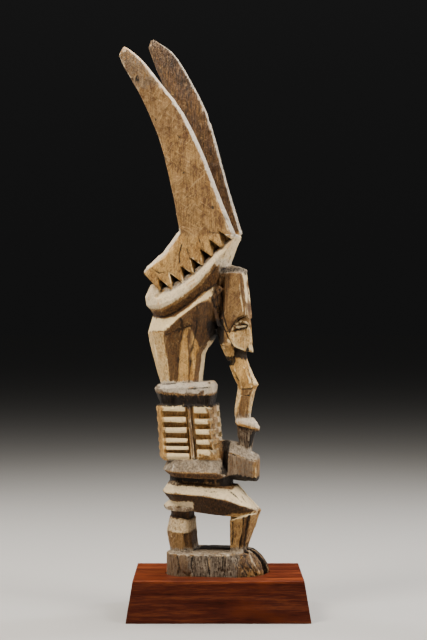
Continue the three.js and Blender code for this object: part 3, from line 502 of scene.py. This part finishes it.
class Edges:
    """Where the solid's own edges run, as points half a millimetre apart: outer ones and inner ones."""

    def __init__(self, name, least_bend=22):
        shape = bmesh.new()
        shape.from_mesh(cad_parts[name].data)
        bmesh.ops.remove_doubles(shape, verts=shape.verts, dist=0.005 * MM)
        rows = {True: [], False: []}
        for edge in shape.edges:
            bend = edge.calc_face_angle_signed(0)
            if abs(bend) > math.radians(least_bend):
                a, b = (np.array(vert.co) / MM for vert in edge.verts)
                steps = np.linspace(0, 1, 2 + int(2 * np.linalg.norm(b - a)))[:, None]
                rows[bend > 0].append(a + (b - a) * steps)
        shape.free()
        self.trees = {}
        for outer, stretches in rows.items():
            points = Skin.turned(np.concatenate(stretches), 1)
            tree = KDTree(len(points))
            for number, point in enumerate(points):
                tree.insert(point, number)
            tree.balance()
            self.trees[outer] = tree

    def off(self, skin, outer):
        """How far each point of a skin is from the nearest outer, or inner, edge."""
        find = self.trees[outer].find
        return np.array([find(point)[2] for point in skin.points])


def blade_marks(skin, off_arris):
    """Crossing cuts of adze and knife, longer along the grain, over the slow swell of handwork. They die out
    at the arrises, which a carver keeps true, and are finer on the horns than below them."""
    z = skin.points[:, 2]
    broad = blade_cuts(skin.points, (9, 9, 15), 3)
    fine = blade_cuts(skin.points, (4.2, 4.2, 6), 11)
    swell = noise(skin.points, (26, 26, 40), 21)
    waver = noise(skin.points, (8, 8, 11), 22)
    broken = noise(skin.points, (2.6, 2.6, 3.6), 23)
    below_horns = ramp(z, HORNS_FROM + 11, HORNS_FROM - 24)
    below_tips = ramp(z, 585, 545)
    cuts = (0.5 * broad + 0.24 * fine + 0.16 * below_horns * broken) * ramp(off_arris, 0.3, 3.2)
    skin.sink((cuts + 0.3 * swell + (0.12 + 0.18 * below_horns) * waver) * below_tips)


def chips(skin, off_arris, rng):
    """Small pieces broken from the arrises. The trunk has none: its slats are too narrow for them."""
    z = skin.points[:, 2]
    above_plinth, below_tips = 38, 545
    count = 260
    off_trunk = (z < TRUNK_FOOT) | (z > TRUNK_TOP)
    arrises = np.flatnonzero((off_arris < 0.7) & between(z, above_plinth, below_tips) & off_trunk)
    normals = skin.normals()
    for place in rng.choice(arrises, count, replace=False):
        radius = rng.uniform(1.4, 4.4)
        depth = rng.uniform(0.3, 1.1)
        skin.scoop(skin.points[place] + normals[place] * (radius - depth), radius, (1, 1, 1.6))


def drying_checks(skin):
    """Fine cracks that the wood opened along its grain as it dried."""
    line = np.abs(noise(skin.points, (7, 7, 75), 41) + 0.15 * noise(skin.points, (3, 3, 9), 42))
    here = ramp(noise(skin.points, (16, 16, 45), 43), 0.25, 0.5)
    skin.sink(0.6 * (1 - ramp(line, 0.02, 0.09)) * here)


def line_strength(skin, path, width, sides):
    """How much of a cut line is at each point. Off the head it is broken here and there, as a blade's or a
    crack's line is."""
    u, v, z = skin.points.T
    waver = 0.4 * noise(skin.points, (5, 5, 5), 71)
    on_head = between(z, 250, 345) & (u > 5)
    unbroken = np.maximum(ramp(noise(skin.points, (5, 5, 4), 73), -1.1, -0.2), on_head)
    facing = sum(v * side > 5 for side in sides) * (np.abs(skin.normals()[:, 1]) > 0.25)
    return np.exp(-((off_path(u, z, path) + waver) / width) ** 2) * facing * unbroken


def cut_lines(skin):
    """The lines of the brow, the eyes and the head, the seam of the box and the larger cracks."""
    depths = np.zeros(skin.count)
    for path, width, depth, sides in LINES.values():
        depths = np.maximum(depths, depth * line_strength(skin, path, width, sides))
    skin.sink(depths)


def toe_grooves(skin):
    """Short cuts down the front of the feet that part the toes."""
    u, v, z = skin.points.T
    depths = np.zeros(skin.count)
    for side in (-1, 1):
        for place, depth, top in ((14.5, 0.9, 47), (18.6, 1.5, 50), (22.8, 1.0, 46), (25.8, 1.4, 48)):
            across = np.abs(v * side - place + 0.8 * noise(skin.points, (5, 5, 5), 72)) / 0.8
            depths = np.maximum(depths, depth * np.exp(-across ** 2) * ramp(z, top + 3, top - 2))
    skin.sink(depths * (u > 22))


def ladder_cuts(skin):
    """Each slot runs out in a slant at its ends, and the slat under it is cut back along its top."""
    u, v, z = skin.points.T
    straight = down_trunk(u, z)
    slot_depth, slat_cut = 4, 1.1
    depth = np.zeros(skin.count)
    for (rear, fore), slots in LADDERS:
        ends = ramp(straight, rear - 2.8, rear - 0.4) * ramp(straight, fore + 2.2, fore + 0.2)
        for low, high in slots:
            depth = np.maximum(depth, slot_depth * ends * between(z, low, high))
            depth = np.maximum(depth, slat_cut * ends * ramp(z, low - 3.2, low + 0.4) * (z <= low))
    beside = (np.abs(v) > 20) & between(z, TRUNK_FOOT - 1, TRUNK_TOP + 1)
    shallow = np.where(beside, np.minimum(np.abs(v), TRUNK_HALF_WIDTH - depth), np.abs(v))
    skin.points[:, 1] = np.sign(v) * shallow


def corner_steps(skin):
    """The near front corner of the trunk is cut in shell-like steps that carry on the slats beside them. The
    far one is only cut back a little."""
    u, v, z = skin.points.T
    straight = down_trunk(u, z)
    across = np.array([7, 5]) / math.hypot(7, 5)
    off_corner = across[0] * (straight + 7.2) + across[1] * (np.abs(v) - TRUNK_HALF_WIDTH)
    step = ((z - STEPS_FROM) / STEP_RISE) % 1
    depth = 0.3 + 1.9 * step + 0.4 * noise(skin.points, (4, 4, 5), 74)
    here = between(z, TRUNK_FOOT + 1, TRUNK_TOP - 1) & between(straight, -14, 3)
    cut = np.maximum(off_corner + depth, 0) * here
    cut = np.where(v < 0, cut, np.minimum(cut, 1.0))
    skin.points[:, 0] -= across[0] * cut
    skin.points[:, 1] -= across[1] * cut * np.sign(v)


def figure_skin(edges):
    """The figure's solid as one dense skin with its relief cut in, thinned out but for the eyes."""
    piece = copy_of_node("figure")
    even = piece.modifiers.new("even skin", "REMESH")
    even.mode = "VOXEL"
    even.voxel_size = SKIN_GRAIN * MM
    applied(piece)
    skin = Skin(piece)
    rng = np.random.default_rng(7)
    off_arris = edges.off(skin, outer=True)
    ladder_cuts(skin)
    corner_steps(skin)
    toe_grooves(skin)
    cut_lines(skin)
    blade_marks(skin, off_arris)
    chips(skin, off_arris, rng)
    drying_checks(skin)
    skin.put_back()
    u, _, z = skin.points.T
    eyes = piece.vertex_groups.new(name="eyes")
    eyes.add(np.flatnonzero(between(u, 14, 36) & between(z, 278, 297)).tolist(), 1.0, "REPLACE")
    lighter = piece.modifiers.new("fewer triangles", "DECIMATE")
    lighter.ratio = MOST_TRIANGLES / (2 * len(piece.data.polygons))
    lighter.vertex_group = eyes.name
    lighter.invert_vertex_group = True
    lighter.use_collapse_triangulate = True
    applied(piece)
    piece.data.polygons.foreach_set("use_smooth", np.ones(len(piece.data.polygons), bool))
    return piece


# What happened to the wood, and the light and shade painted on it

def shelter(skin, reach, rays, rng):
    """The share of the sky and the room that each point doesn't see, within a reach in mm."""
    points, normals = skin.points, skin.normals()
    corners = np.empty(len(skin.mesh.loops), int)
    skin.mesh.loops.foreach_get("vertex_index", corners)
    tree = BVHTree.FromPolygons(points.tolist(), corners.reshape(-1, 3).tolist(), all_triangles=True)
    fan = rng.normal(size=(rays, 3))
    fan /= np.linalg.norm(fan, axis=1)[:, None]
    blocked = np.zeros(len(points))
    starts = (points + normals * 0.4).tolist()
    for ray in fan:
        way = normals + 0.95 * ray
        way /= np.linalg.norm(way, axis=1)[:, None]
        hits = [tree.ray_cast(start, aim, reach)[0] for start, aim in zip(starts, way.tolist())]
        blocked += [hit is not None for hit in hits]
    return blocked / rays


class History:
    """How much of each weathering, and of the painted shade and highlight, there is at each point of a skin,
    from 0 to 1.
    """

    def __init__(self, skin, edges):
        self.skin = skin
        self.normals = skin.normals()
        rng = np.random.default_rng(11)
        self.hidden = skin.averaged(shelter(skin, 22, 14, rng), 2)
        self.off_arris = edges.off(skin, outer=True)
        self.off_crease = edges.off(skin, outer=False)
        self.spots = noise(skin.points, (6, 6, 10), 61)
        self.clouds = noise(skin.points, (20, 20, 30), 62)
        self.grains = noise(skin.points, (2.5, 2.5, 3.5), 63)
        self.wobble = 0.7 * self.spots + 0.5 * self.grains
        # Faces turned up, and less so those turned forward, start paler and greyer: bleaching and dust, and
        # partly painted light from above and in front
        up = ramp(self.normals[:, 2] + 0.25 * self.normals[:, 0] + 0.12 * self.clouds, 0.3, 0.8)
        self.amounts = {
            "bleach": 0.5 * up,
            "grey": 0.25 * up + 0.25 * ramp(self.clouds, 0.2, 0.8),
            "gold": 0.4 + 0.2 * self.clouds,
            # Sheltered places start brown: dirt, and painted shade in hollows
            "stain": 0.7 * ramp(self.hidden, 0.4, 0.8),
            "soot": np.zeros(skin.count),
            "ochre": np.zeros(skin.count),
            "open": np.zeros(skin.count),
        }

    def paint(self, where, **amounts):
        """Moves each amount, weathering and painted light and shade alike, towards its new amount by a share.
        """
        for name, amount in amounts.items():
            self.amounts[name] += (amount - self.amounts[name]) * where

    def blacken(self, least):
        """Sees to it that each point has at least that much black, which stands for smoke, dirt and painted
        shade.
        """
        self.amounts["soot"] = np.maximum(self.amounts["soot"], least)


def paint_places(history):
    """The outlined places, which both sides have, and the top of the ledge under the crest's teeth."""
    u, v, z = history.skin.points.T
    for _, outline, amounts in PLACES:
        history.paint(ramp(inside_outline(u, z, outline) + history.wobble, -0.6, 0.6), **amounts)
    top = ramp(history.normals[:, 2], 0.3, 0.6) * (np.abs(v) < LEDGE_HALF_WIDTH)
    history.paint(ramp(inside_outline(u, z, LEDGE), -0.5, 0.5) * top, grey=0.95, bleach=0.35, gold=0)


def paint_horns(history):
    """The places of each horn, the far one's on its inner face only, and the pale bevel of its front edge,
    worn wood with a painted highlight.
    """
    u, v, z = history.skin.points.T
    for side, places in HORN_PLACES.items():
        here = (v * side > 0) & (z > HORNS_FROM)
        shown = here * (ramp(history.normals[:, 1], 0.3, -0.1) if side > 0 else 1)
        for _, outline, amounts in places:
            inside = inside_outline(u, z, outline) + 2 * history.wobble
            history.paint(ramp(inside, -2.5, 2.5) * shown, **amounts)
        # The front bevel is painted pale: wear, and a painted highlight
        fronts = HORN_FRONTS[side]
        width = np.interp(z, [front[1] for front in fronts], [front[2] for front in fronts])
        from_edge = off_path(u, z, [front[:2] for front in fronts])
        bevel = ramp(width - from_edge + 0.3 * history.wobble, -0.5, 0.5) * here
        bevel *= history.normals[:, 0] > 0.2
        history.paint(bevel, bleach=0.85, grey=1.0, gold=0, stain=0)


def blacken_cuts(history):
    """Black in the cut lines, dirt and painted shade in the cuts; in the near horn's bruises; and painted
    shade between the feet.
    """
    u, v, z = history.skin.points.T
    # The cut lines are blackened: dirt, and painted shade in the grooves
    for path, width, _, sides in LINES.values():
        history.blacken(0.9 * line_strength(history.skin, path, width, sides))
    for bruise_u, bruise_z, radius in BRUISES:
        off_middle = np.hypot(u - bruise_u, (z - bruise_z) / 1.3) + 1.2 * history.wobble
        history.blacken(0.8 * (1 - ramp(off_middle, 0.3 * radius, radius)) * (v < 0))
    # Painted shade in the gap between the feet
    between_feet = (u > 24) & (np.abs(v) < 12) & (z < 64) & (np.abs(history.normals[:, 1]) > 0.4)
    history.blacken(0.9 * between_feet)


def paint_trunk(history):
    """Painted light and shade on the trunk: painted shade in the slots, a front painted pale as if lit from
    the right and duller on its near half as in shade, and painted highlights on the edges of the steps.
    """
    u, v, z = history.skin.points.T
    straight = down_trunk(u, z)
    # Painted shade: the slots' insides turn brown
    slotted = between(z, TRUNK_FOOT + 3, TRUNK_TOP - 3) & (np.abs(v) > 19) & (straight < -5.5)
    history.paint(slotted * ramp(np.abs(v), 26.8, 25.8), bleach=0, stain=0.46, grey=0.3)
    front = between(z, TRUNK_FOOT, TRUNK_TOP) * (u < 10) * ramp(v, -24, -22)
    front *= np.maximum(ramp(history.normals[:, 0], 0.55, 0.8), straight > -6.5)
    # Painted light: the far half of the front pale as if lit from the right, the near half duller as in shade
    history.paint(front * ramp(v, -0.5, 2.5), bleach=0.8, grey=0.25, gold=0.8, stain=0, open=1)
    history.paint(front * ramp(v, 2.5, -0.5), bleach=0.35, grey=0.4, stain=0.4)
    # Painted highlight on the edges of the corner's steps
    on_corner = between(straight, -8, -1) & between(z, TRUNK_FOOT + 3, TRUNK_TOP - 2) & (v < -20)
    step_edge = ramp((z - STEPS_FROM) / STEP_RISE % 1, 0.8, 0.95) * on_corner
    history.paint(step_edge, bleach=0.9, grey=0.4, stain=0)


def paint_turned_away(history):
    """Faces that an outline seen from the side can't tell apart: the neck's front, painted pale as if lit
    from the right but for its brown near edge; the far foot, blackened as painted shade; and the base's top
    between the stool and the shins, blackened as painted shadow under the seat."""
    u, v, z = history.skin.points.T
    # Painted light: the neck's front pale as if lit from the right; its near edge brown
    neck_front = between(z, 229, 268) * ramp(u, -27, -25) * (u < 0) * ramp(history.normals[:, 0], 0.5, 0.7)
    history.paint(neck_front * ramp(v, -12, -9), bleach=1.0, grey=0, gold=0.6, stain=0, open=1)
    history.paint(neck_front * ramp(v, -9, -12), bleach=0, gold=0.3, stain=0.6)
    # Painted shade on the far foot's inner side
    far_foot = ramp(v, 8, 10) * (u > 20) * (z < 66) * ramp(history.normals[:, 1], 0.4, 0)
    history.paint(far_foot, soot=0.75, bleach=0.2)
    # Painted shadow on the base's top under the seat, between the stool and the shins
    under_seat = ramp(v, -8, -4) * between(u, -20, 14) * between(z, 58, 76)
    history.paint(under_seat, soot=0.8, bleach=0)


def shade_highlight_dirt_and_wear(history):
    """Sheltered places darken, dirt and painted shade together, but for the places kept open. An arris shows
    the worn wood, rubbed to the yellow or pale, the pale also a painted highlight. Creases darken whatever
    the place
    is: dirt and painted shade."""
    amounts = history.amounts
    hidden, spots = history.hidden, history.spots
    opened = amounts.pop("open")
    closed = 1 - opened
    # Sheltered places lose their pale: dirt and painted shade, but for the places kept open
    amounts["bleach"] *= 1 - 0.7 * closed * ramp(hidden, 0.55, 0.95)
    # Arrises are made pale, or rubbed yellow in patches: wear, and on the pale ones a painted highlight too
    arris = ramp(0.8 + 0.9 * spots + 0.5 * history.grains - history.off_arris, 0, 0.8)
    arris *= (amounts["soot"] < 0.6) * (1 - 0.6 * ramp(amounts["stain"], 0.4, 0.9))
    rubbed = ramp(spots + 0.8 * history.clouds, 0.1, 0.6)
    amounts["bleach"] = np.maximum(amounts["bleach"], 0.9 * arris * (1 - rubbed))
    amounts["ochre"] = np.maximum(amounts["ochre"], 0.55 * arris * rubbed)
    # Sheltered places turn brown, and the deepest black: dirt and painted shade
    shelter_dirt_and_shade = 0.8 * closed * ramp(hidden, 0.62, 0.92)
    amounts["stain"] = np.maximum(amounts["stain"] * (1 - 0.8 * arris), shelter_dirt_and_shade)
    history.blacken(0.9 * closed * ramp(hidden + 0.08 * spots, 0.82, 1.0))
    # Creases are darkened: dirt and painted shade
    crease_dirt_and_shade = ramp(1.1 + 0.8 * spots + 0.4 * history.grains - history.off_crease, 0, 1)
    amounts["crease_dirt_and_shade"] = crease_dirt_and_shade * (1 - 0.6 * opened)


def keep_history(piece, edges):
    """Works out what happened to the wood and the shade and highlights painted on it, and keeps them on the
    skin.
    """
    skin = Skin(piece)
    history = History(skin, edges)
    for happened in (paint_places, paint_horns, blacken_cuts, paint_trunk, paint_turned_away, shade_highlight_dirt_and_wear):
        happened(history)
    for name, values in history.amounts.items():
        skin.keep(name, values)
    skin.put_back()


# Materials

SMOOTH = {"interpolation_type": "SMOOTHSTEP"}
COLOURS = {"data_type": "RGBA"}


def linear(hex_colour):
    """An sRGB hex colour as the linear red, green, blue and alpha that a shader takes."""
    parts = [int(hex_colour[i:i + 2], 16) / 255 for i in (1, 3, 5)]
    return [p / 12.92 if p <= 0.04045 else ((p + 0.055) / 1.055) ** 2.4 for p in parts] + [1]


def add(tree, kind, settings=None, **inputs):
    """Adds a node with its settings and its inputs: a value, or another node's output to link."""
    node = tree.nodes.new(kind)
    for name, value in (settings or {}).items():
        setattr(node, name, value)
    for name, value in inputs.items():
        socket = node.inputs[int(name[1:])] if name[0] == "_" else node.inputs[name.replace("_", " ")]
        if isinstance(value, bpy.types.NodeSocket):
            tree.links.new(value, socket)
        else:
            socket.default_value = value
    return node


def new_material(name):
    material = bpy.data.materials.new(name)
    material.use_nodes = True
    material.node_tree.nodes.clear()
    return material, material.node_tree


def grain(tree, size, detail, roughness=0.55, turn=(0, 0, 0), distortion=0.0):
    """Noise whose streaks have that size in mm along the object's X, Y and Z."""
    place = add(tree, "ShaderNodeTexCoord").outputs["Object"]
    turned = add(tree, "ShaderNodeMapping", Vector=place, Rotation=turn).outputs["Vector"]
    scale = [1 / (length * MM) for length in size]
    drawn = add(tree, "ShaderNodeMapping", Vector=turned, Scale=scale).outputs["Vector"]
    return add(tree, "ShaderNodeTexNoise", Vector=drawn, Scale=1.0, Detail=detail, Roughness=roughness,
               Distortion=distortion).outputs["Fac"]


def mixture(tree, *parts):
    """Patterns added up, each times its share."""
    mixed = 0.0
    for pattern, share in reversed(parts):
        more = add(tree, "ShaderNodeMath", {"operation": "MULTIPLY_ADD"}, _0=pattern, _1=share, _2=mixed)
        mixed = more.outputs[0]
    return mixed


def lay(tree, below, above, pattern, low, high, most=1.0):
    """Lays one colour over another: none of it where a pattern is at low, the most of it at high."""
    share = add(tree, "ShaderNodeMapRange", SMOOTH, Value=pattern, From_Min=low, From_Max=high, To_Min=0.0,
                To_Max=most).outputs["Result"]
    return add(tree, "ShaderNodeMix", COLOURS, _0=share, _6=below, _7=above).outputs[2]


def three_tones(tree, pattern, low, high, dark, middle, light):
    """The dark, middle and light tone of one wood, as a pattern goes from low to high."""
    share = add(tree, "ShaderNodeMapRange", SMOOTH, Value=pattern, From_Min=low, From_Max=high)
    tones = add(tree, "ShaderNodeValToRGB", Fac=share.outputs["Result"])
    stops = tones.color_ramp.elements
    stops[0].color, stops[1].color = linear(dark), linear(light)
    stops.new(0.5).color = linear(middle)
    return tones.outputs["Color"]


def weathered_adze_cut_hardwood():
    """Dense tropical hardwood cut with adze and knife and never sanded: matt, golden brown, streaked along
    the log, paler where light and hands reached it, dark brown to black where smoke and dirt stayed; it also
    carries the painted shade and painted highlights kept on the skin."""
    material, tree = new_material("weathered_adze_cut_hardwood")
    # The fibres and flecks are drawn about 1 mm wide, coarser than the real ones of 0.2 mm, so that they show
    fibre = grain(tree, (1.2, 1.2, 11), 4, 0.62)
    flecks = grain(tree, (1.1, 1.1, 2.0), 3, 0.6)
    grit = grain(tree, (1.8, 1.8, 2.8), 4, 0.66)
    bands = grain(tree, (5, 5, 40), 4, 0.6, distortion=1.0)
    patches = grain(tree, (10, 10, 16), 4, 0.6, distortion=0.8)
    # Blade strokes cross the grain at several slants, and are drawn coarser than the real nicks too
    strokes = [grain(tree, (16, 16, 1.0), 3, turn=(0, math.radians(slant), 0), distortion=1.0)
               for slant in (42, -30, 64)]
    mottle = mixture(tree, (grit, 0.5), (bands, 0.5))
    raggedness = mixture(tree, (grit, 0.55), (fibre, 0.45))

    def kept(name):
        return add(tree, "ShaderNodeAttribute", {"attribute_name": name}).outputs["Fac"]

    def weathered(below, name, above, most, swing=0.7):
        """Lays a kept amount, weathering and painted light and shade alike, in patches with ragged edges: the
        more of it, the more of the patches join.
        """
        ragged = add(tree, "ShaderNodeMapRange", SMOOTH, Value=raggedness, From_Min=0.35, From_Max=0.65,
                     To_Min=-0.5 * swing, To_Max=0.5 * swing).outputs["Result"]
        amount = add(tree, "ShaderNodeMath", {"operation": "ADD"}, _0=kept(name), _1=ragged).outputs[0]
        return lay(tree, below, above, amount, 0.2, 0.85, most)

    # The wood itself, golden where hands rubbed it, nicked by the blade and flecked by its pores
    colour = three_tones(tree, mixture(tree, (fibre, 0.25), (bands, 0.3), (patches, 0.45)), 0.38, 0.62,
                         "#63401f", "#886538", "#a68254")
    golden = lay(tree, linear("#c08e48"), linear("#edbe72"), mottle, 0.4, 0.6)
    colour = weathered(colour, "gold", golden, 0.85)
    colour = lay(tree, colour, linear("#5a3918"), patches, 0.48, 0.3, 0.4)
    for stroke in strokes:
        colour = lay(tree, colour, linear("#e6c48c"), stroke, 0.6, 0.7, 0.32)
        colour = lay(tree, colour, linear("#4c3016"), stroke, 0.4, 0.32, 0.5)
    colour = lay(tree, colour, linear("#2e1c0c"), flecks, 0.61, 0.7, 0.6)

    # The greying goes under the bleaching, so that bleached and greyed wood is a pale silver with dust in it
    ashen = lay(tree, linear("#62594d"), linear("#a79b87"), mottle, 0.36, 0.64)
    colour = weathered(colour, "grey", ashen, 0.85, 0.45)
    grey = kept("grey")
    pale = add(tree, "ShaderNodeMix", COLOURS, _0=grey, _6=linear("#fde2ad"), _7=linear("#d0c5b4")).outputs[2]
    dust = add(tree, "ShaderNodeMapRange", SMOOTH, Value=grey, From_Min=0.0, From_Max=0.8, To_Min=0.15,
               To_Max=0.5).outputs["Result"]
    pale = lay(tree, pale, linear("#84705a"), grit, 0.52, 0.34, dust)
    pale = lay(tree, pale, linear("#6b563f"), fibre, 0.6, 0.72, dust)
    # The pale also stands for painted highlight on arrises, bevels and lit faces
    colour = weathered(colour, "bleach", pale, 0.95, 0.35)
    colour = weathered(colour, "ochre", linear("#c98f3c"), 0.8)
    # The brown and the black stand for stains and smoke, and for painted shade in hollows, gaps and
    # undersides
    stain = lay(tree, linear("#2c1706"), linear("#734d23"), grit, 0.4, 0.65)
    colour = weathered(colour, "stain", stain, 0.9)
    colour = weathered(colour, "soot", linear("#100a05"), 0.96)
    # Painted shade and dirt in the creases
    colour = weathered(colour, "crease_dirt_and_shade", linear("#150c06"), 0.8)

    relief = mixture(tree, (fibre, 0.6), (grit, 0.7), *((stroke, 0.35) for stroke in strokes))
    bump = add(tree, "ShaderNodeBump", Strength=1.0, Distance=1.6 * MM, Height=relief).outputs["Normal"]
    matt = add(tree, "ShaderNodeMapRange", SMOOTH, Value=patches, From_Min=0.3, From_Max=0.7, To_Min=0.6,
               To_Max=0.82).outputs["Result"]
    shader = add(tree, "ShaderNodeBsdfPrincipled", Base_Color=colour, Roughness=matt, Normal=bump, IOR=1.48,
                 Specular_IOR_Level=0.35)
    add(tree, "ShaderNodeOutputMaterial", Surface=shader.outputs[0])
    return material


def oiled_red_hardwood():
    """Padauk-like hardwood, planed, sanded and oiled: red-brown with long dark pores along the plinth, and a
    silky gloss."""
    material, tree = new_material("oiled_red_hardwood")
    # The pores are drawn 1 mm wide, coarser than the real ones of 0.2 mm, so that they show
    pores = grain(tree, (14, 1.0, 0.9), 4, 0.65)
    bands = grain(tree, (120, 9, 7), 4, 0.55, distortion=0.6)
    clouds = grain(tree, (50, 24, 18), 3, 0.5)
    colour = three_tones(tree, mixture(tree, (pores, 0.5), (bands, 0.5)), 0.32, 0.68,
                         "#2c0d04", "#521d0b", "#82401a")
    colour = lay(tree, colour, linear("#7c3612"), clouds, 0.5, 0.75, 0.5)
    colour = lay(tree, colour, linear("#2c0d05"), pores, 0.6, 0.7, 0.7)
    # Painted shade: the sides are darker than the top, where the light falls
    place = add(tree, "ShaderNodeTexCoord").outputs["Object"]
    height = add(tree, "ShaderNodeSeparateXYZ", Vector=place).outputs["Z"]
    colour = lay(tree, colour, linear("#1c0501"), height, 38.5 * MM, 37 * MM, 0.5)
    bump = add(tree, "ShaderNodeBump", Strength=0.18, Distance=0.4 * MM, Height=pores).outputs["Normal"]
    silky = add(tree, "ShaderNodeMapRange", SMOOTH, Value=bands, From_Min=0.3, From_Max=0.7, To_Min=0.36,
                To_Max=0.5).outputs["Result"]
    shader = add(tree, "ShaderNodeBsdfPrincipled", Base_Color=colour, Normal=bump, IOR=1.5,
                 Specular_IOR_Level=0.2, Roughness=silky)
    add(tree, "ShaderNodeOutputMaterial", Surface=shader.outputs[0])
    return material


def plain_paper(name, hex_colour):
    """Matt seamless paper: no pattern at all."""
    material, tree = new_material(name)
    shader = add(tree, "ShaderNodeBsdfPrincipled", Base_Color=linear(hex_colour), Roughness=0.9)
    add(tree, "ShaderNodeOutputMaterial", Surface=shader.outputs[0])
    return material


# The pieces

def carved_figure():
    """The figure, cut and weathered."""
    edges = Edges("figure")
    piece = figure_skin(edges)
    keep_history(piece, edges)
    piece.name = "figure_carving"
    piece.data.materials.clear()
    piece.data.materials.append(weathered_adze_cut_hardwood())
    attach(piece, "root")
    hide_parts("figure")


def plinth_block():
    """The plinth with its arrises eased, as a cabinet-maker leaves them."""
    piece = copy_of_node("plinth")
    shape = bmesh.new()
    shape.from_mesh(piece.data)
    bmesh.ops.dissolve_limit(shape, angle_limit=math.radians(1), verts=shape.verts, edges=shape.edges)
    shape.to_mesh(piece.data)
    shape.free()
    eased = piece.modifiers.new("eased arrises", "BEVEL")
    eased.width = 0.8 * MM
    eased.segments = 3
    eased.limit_method = "ANGLE"
    eased.angle_limit = math.radians(40)
    applied(piece)
    piece.name = "plinth_block"
    piece.data.materials.clear()
    piece.data.materials.append(oiled_red_hardwood())
    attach(piece, "root")
    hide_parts("plinth")


def studio():
    """Pale paper floor, soft boxes above and all round, and a camera level with the figure's middle."""
    scene = bpy.context.scene
    mesh = bpy.data.meshes.new("floor")
    half = 30
    corners = [(-half, -half, 0), (half, -half, 0), (half, half, 0), (-half, half, 0)]
    mesh.from_pydata(corners, [], [(0, 1, 2, 3)])
    floor = bpy.data.objects.new("floor", mesh)
    scene.collection.objects.link(floor)
    mesh.materials.append(plain_paper("pale_paper", "#a8a7a5"))

    world = bpy.data.worlds.new("studio")
    world.use_nodes = True
    tree = world.node_tree
    tree.nodes.clear()
    aim = add(tree, "ShaderNodeTexCoord").outputs["Generated"]
    height = add(tree, "ShaderNodeSeparateXYZ", Vector=aim).outputs["Z"]
    # Darker at the level of the eye than overhead
    glow = add(tree, "ShaderNodeMapRange", SMOOTH, Value=height, From_Min=0.0, From_Max=0.7, To_Min=0.013,
               To_Max=0.034).outputs["Result"]
    background = add(tree, "ShaderNodeBackground", Color=linear("#d2d2d2"), Strength=glow)
    add(tree, "ShaderNodeOutputWorld", Surface=background.outputs[0])
    scene.world = world

    # place, size across and down, watts, colour
    boxes = {
        "overhead": ((0, 0.1, 1.5), (0.5, 0.5), 29, "#fff8ee"),
        "left_front": ((-0.62, -0.5, 1.2), (0.35, 0.45), 18, "#fff6ea"),
        "right_front": ((0.66, -0.42, 1.15), (0.35, 0.45), 9.5, "#fff8f0"),
        "right_low": ((0.95, -0.75, 0.5), (0.2, 0.7), 4, "#fff8f0"),
        "left_back": ((-0.85, 0.55, 0.8), (0.2, 0.8), 7, "#fffaf2"),
        "right_back": ((0.85, 0.5, 0.8), (0.2, 0.8), 8, "#fafaff"),
    }
    middle = Vector((0, 0, 0.3))
    for name, (place, (across, down), watts, hex_colour) in boxes.items():
        data = bpy.data.lights.new(name, "AREA")
        data.shape = "RECTANGLE"
        data.size, data.size_y = across, down
        data.energy = watts
        data.color = linear(hex_colour)[:3]
        light = bpy.data.objects.new(name, data)
        light.location = place
        light.rotation_euler = (middle - light.location).to_track_quat("-Z", "Y").to_euler()
        light.visible_camera = False
        scene.collection.objects.link(light)

    sensor, frame_width, focal_pixels = 36, 427, 1655
    data = bpy.data.cameras.new("camera")
    data.sensor_fit = "HORIZONTAL"
    data.sensor_width = sensor
    data.lens = sensor * focal_pixels / frame_width
    camera = bpy.data.objects.new("camera", data)
    camera.location = (-0.0048, -1.655, 0.2918)
    camera.rotation_euler = (math.radians(90), 0, 0)
    scene.collection.objects.link(camera)
    scene.camera = camera


studio()
plinth_block()
carved_figure()
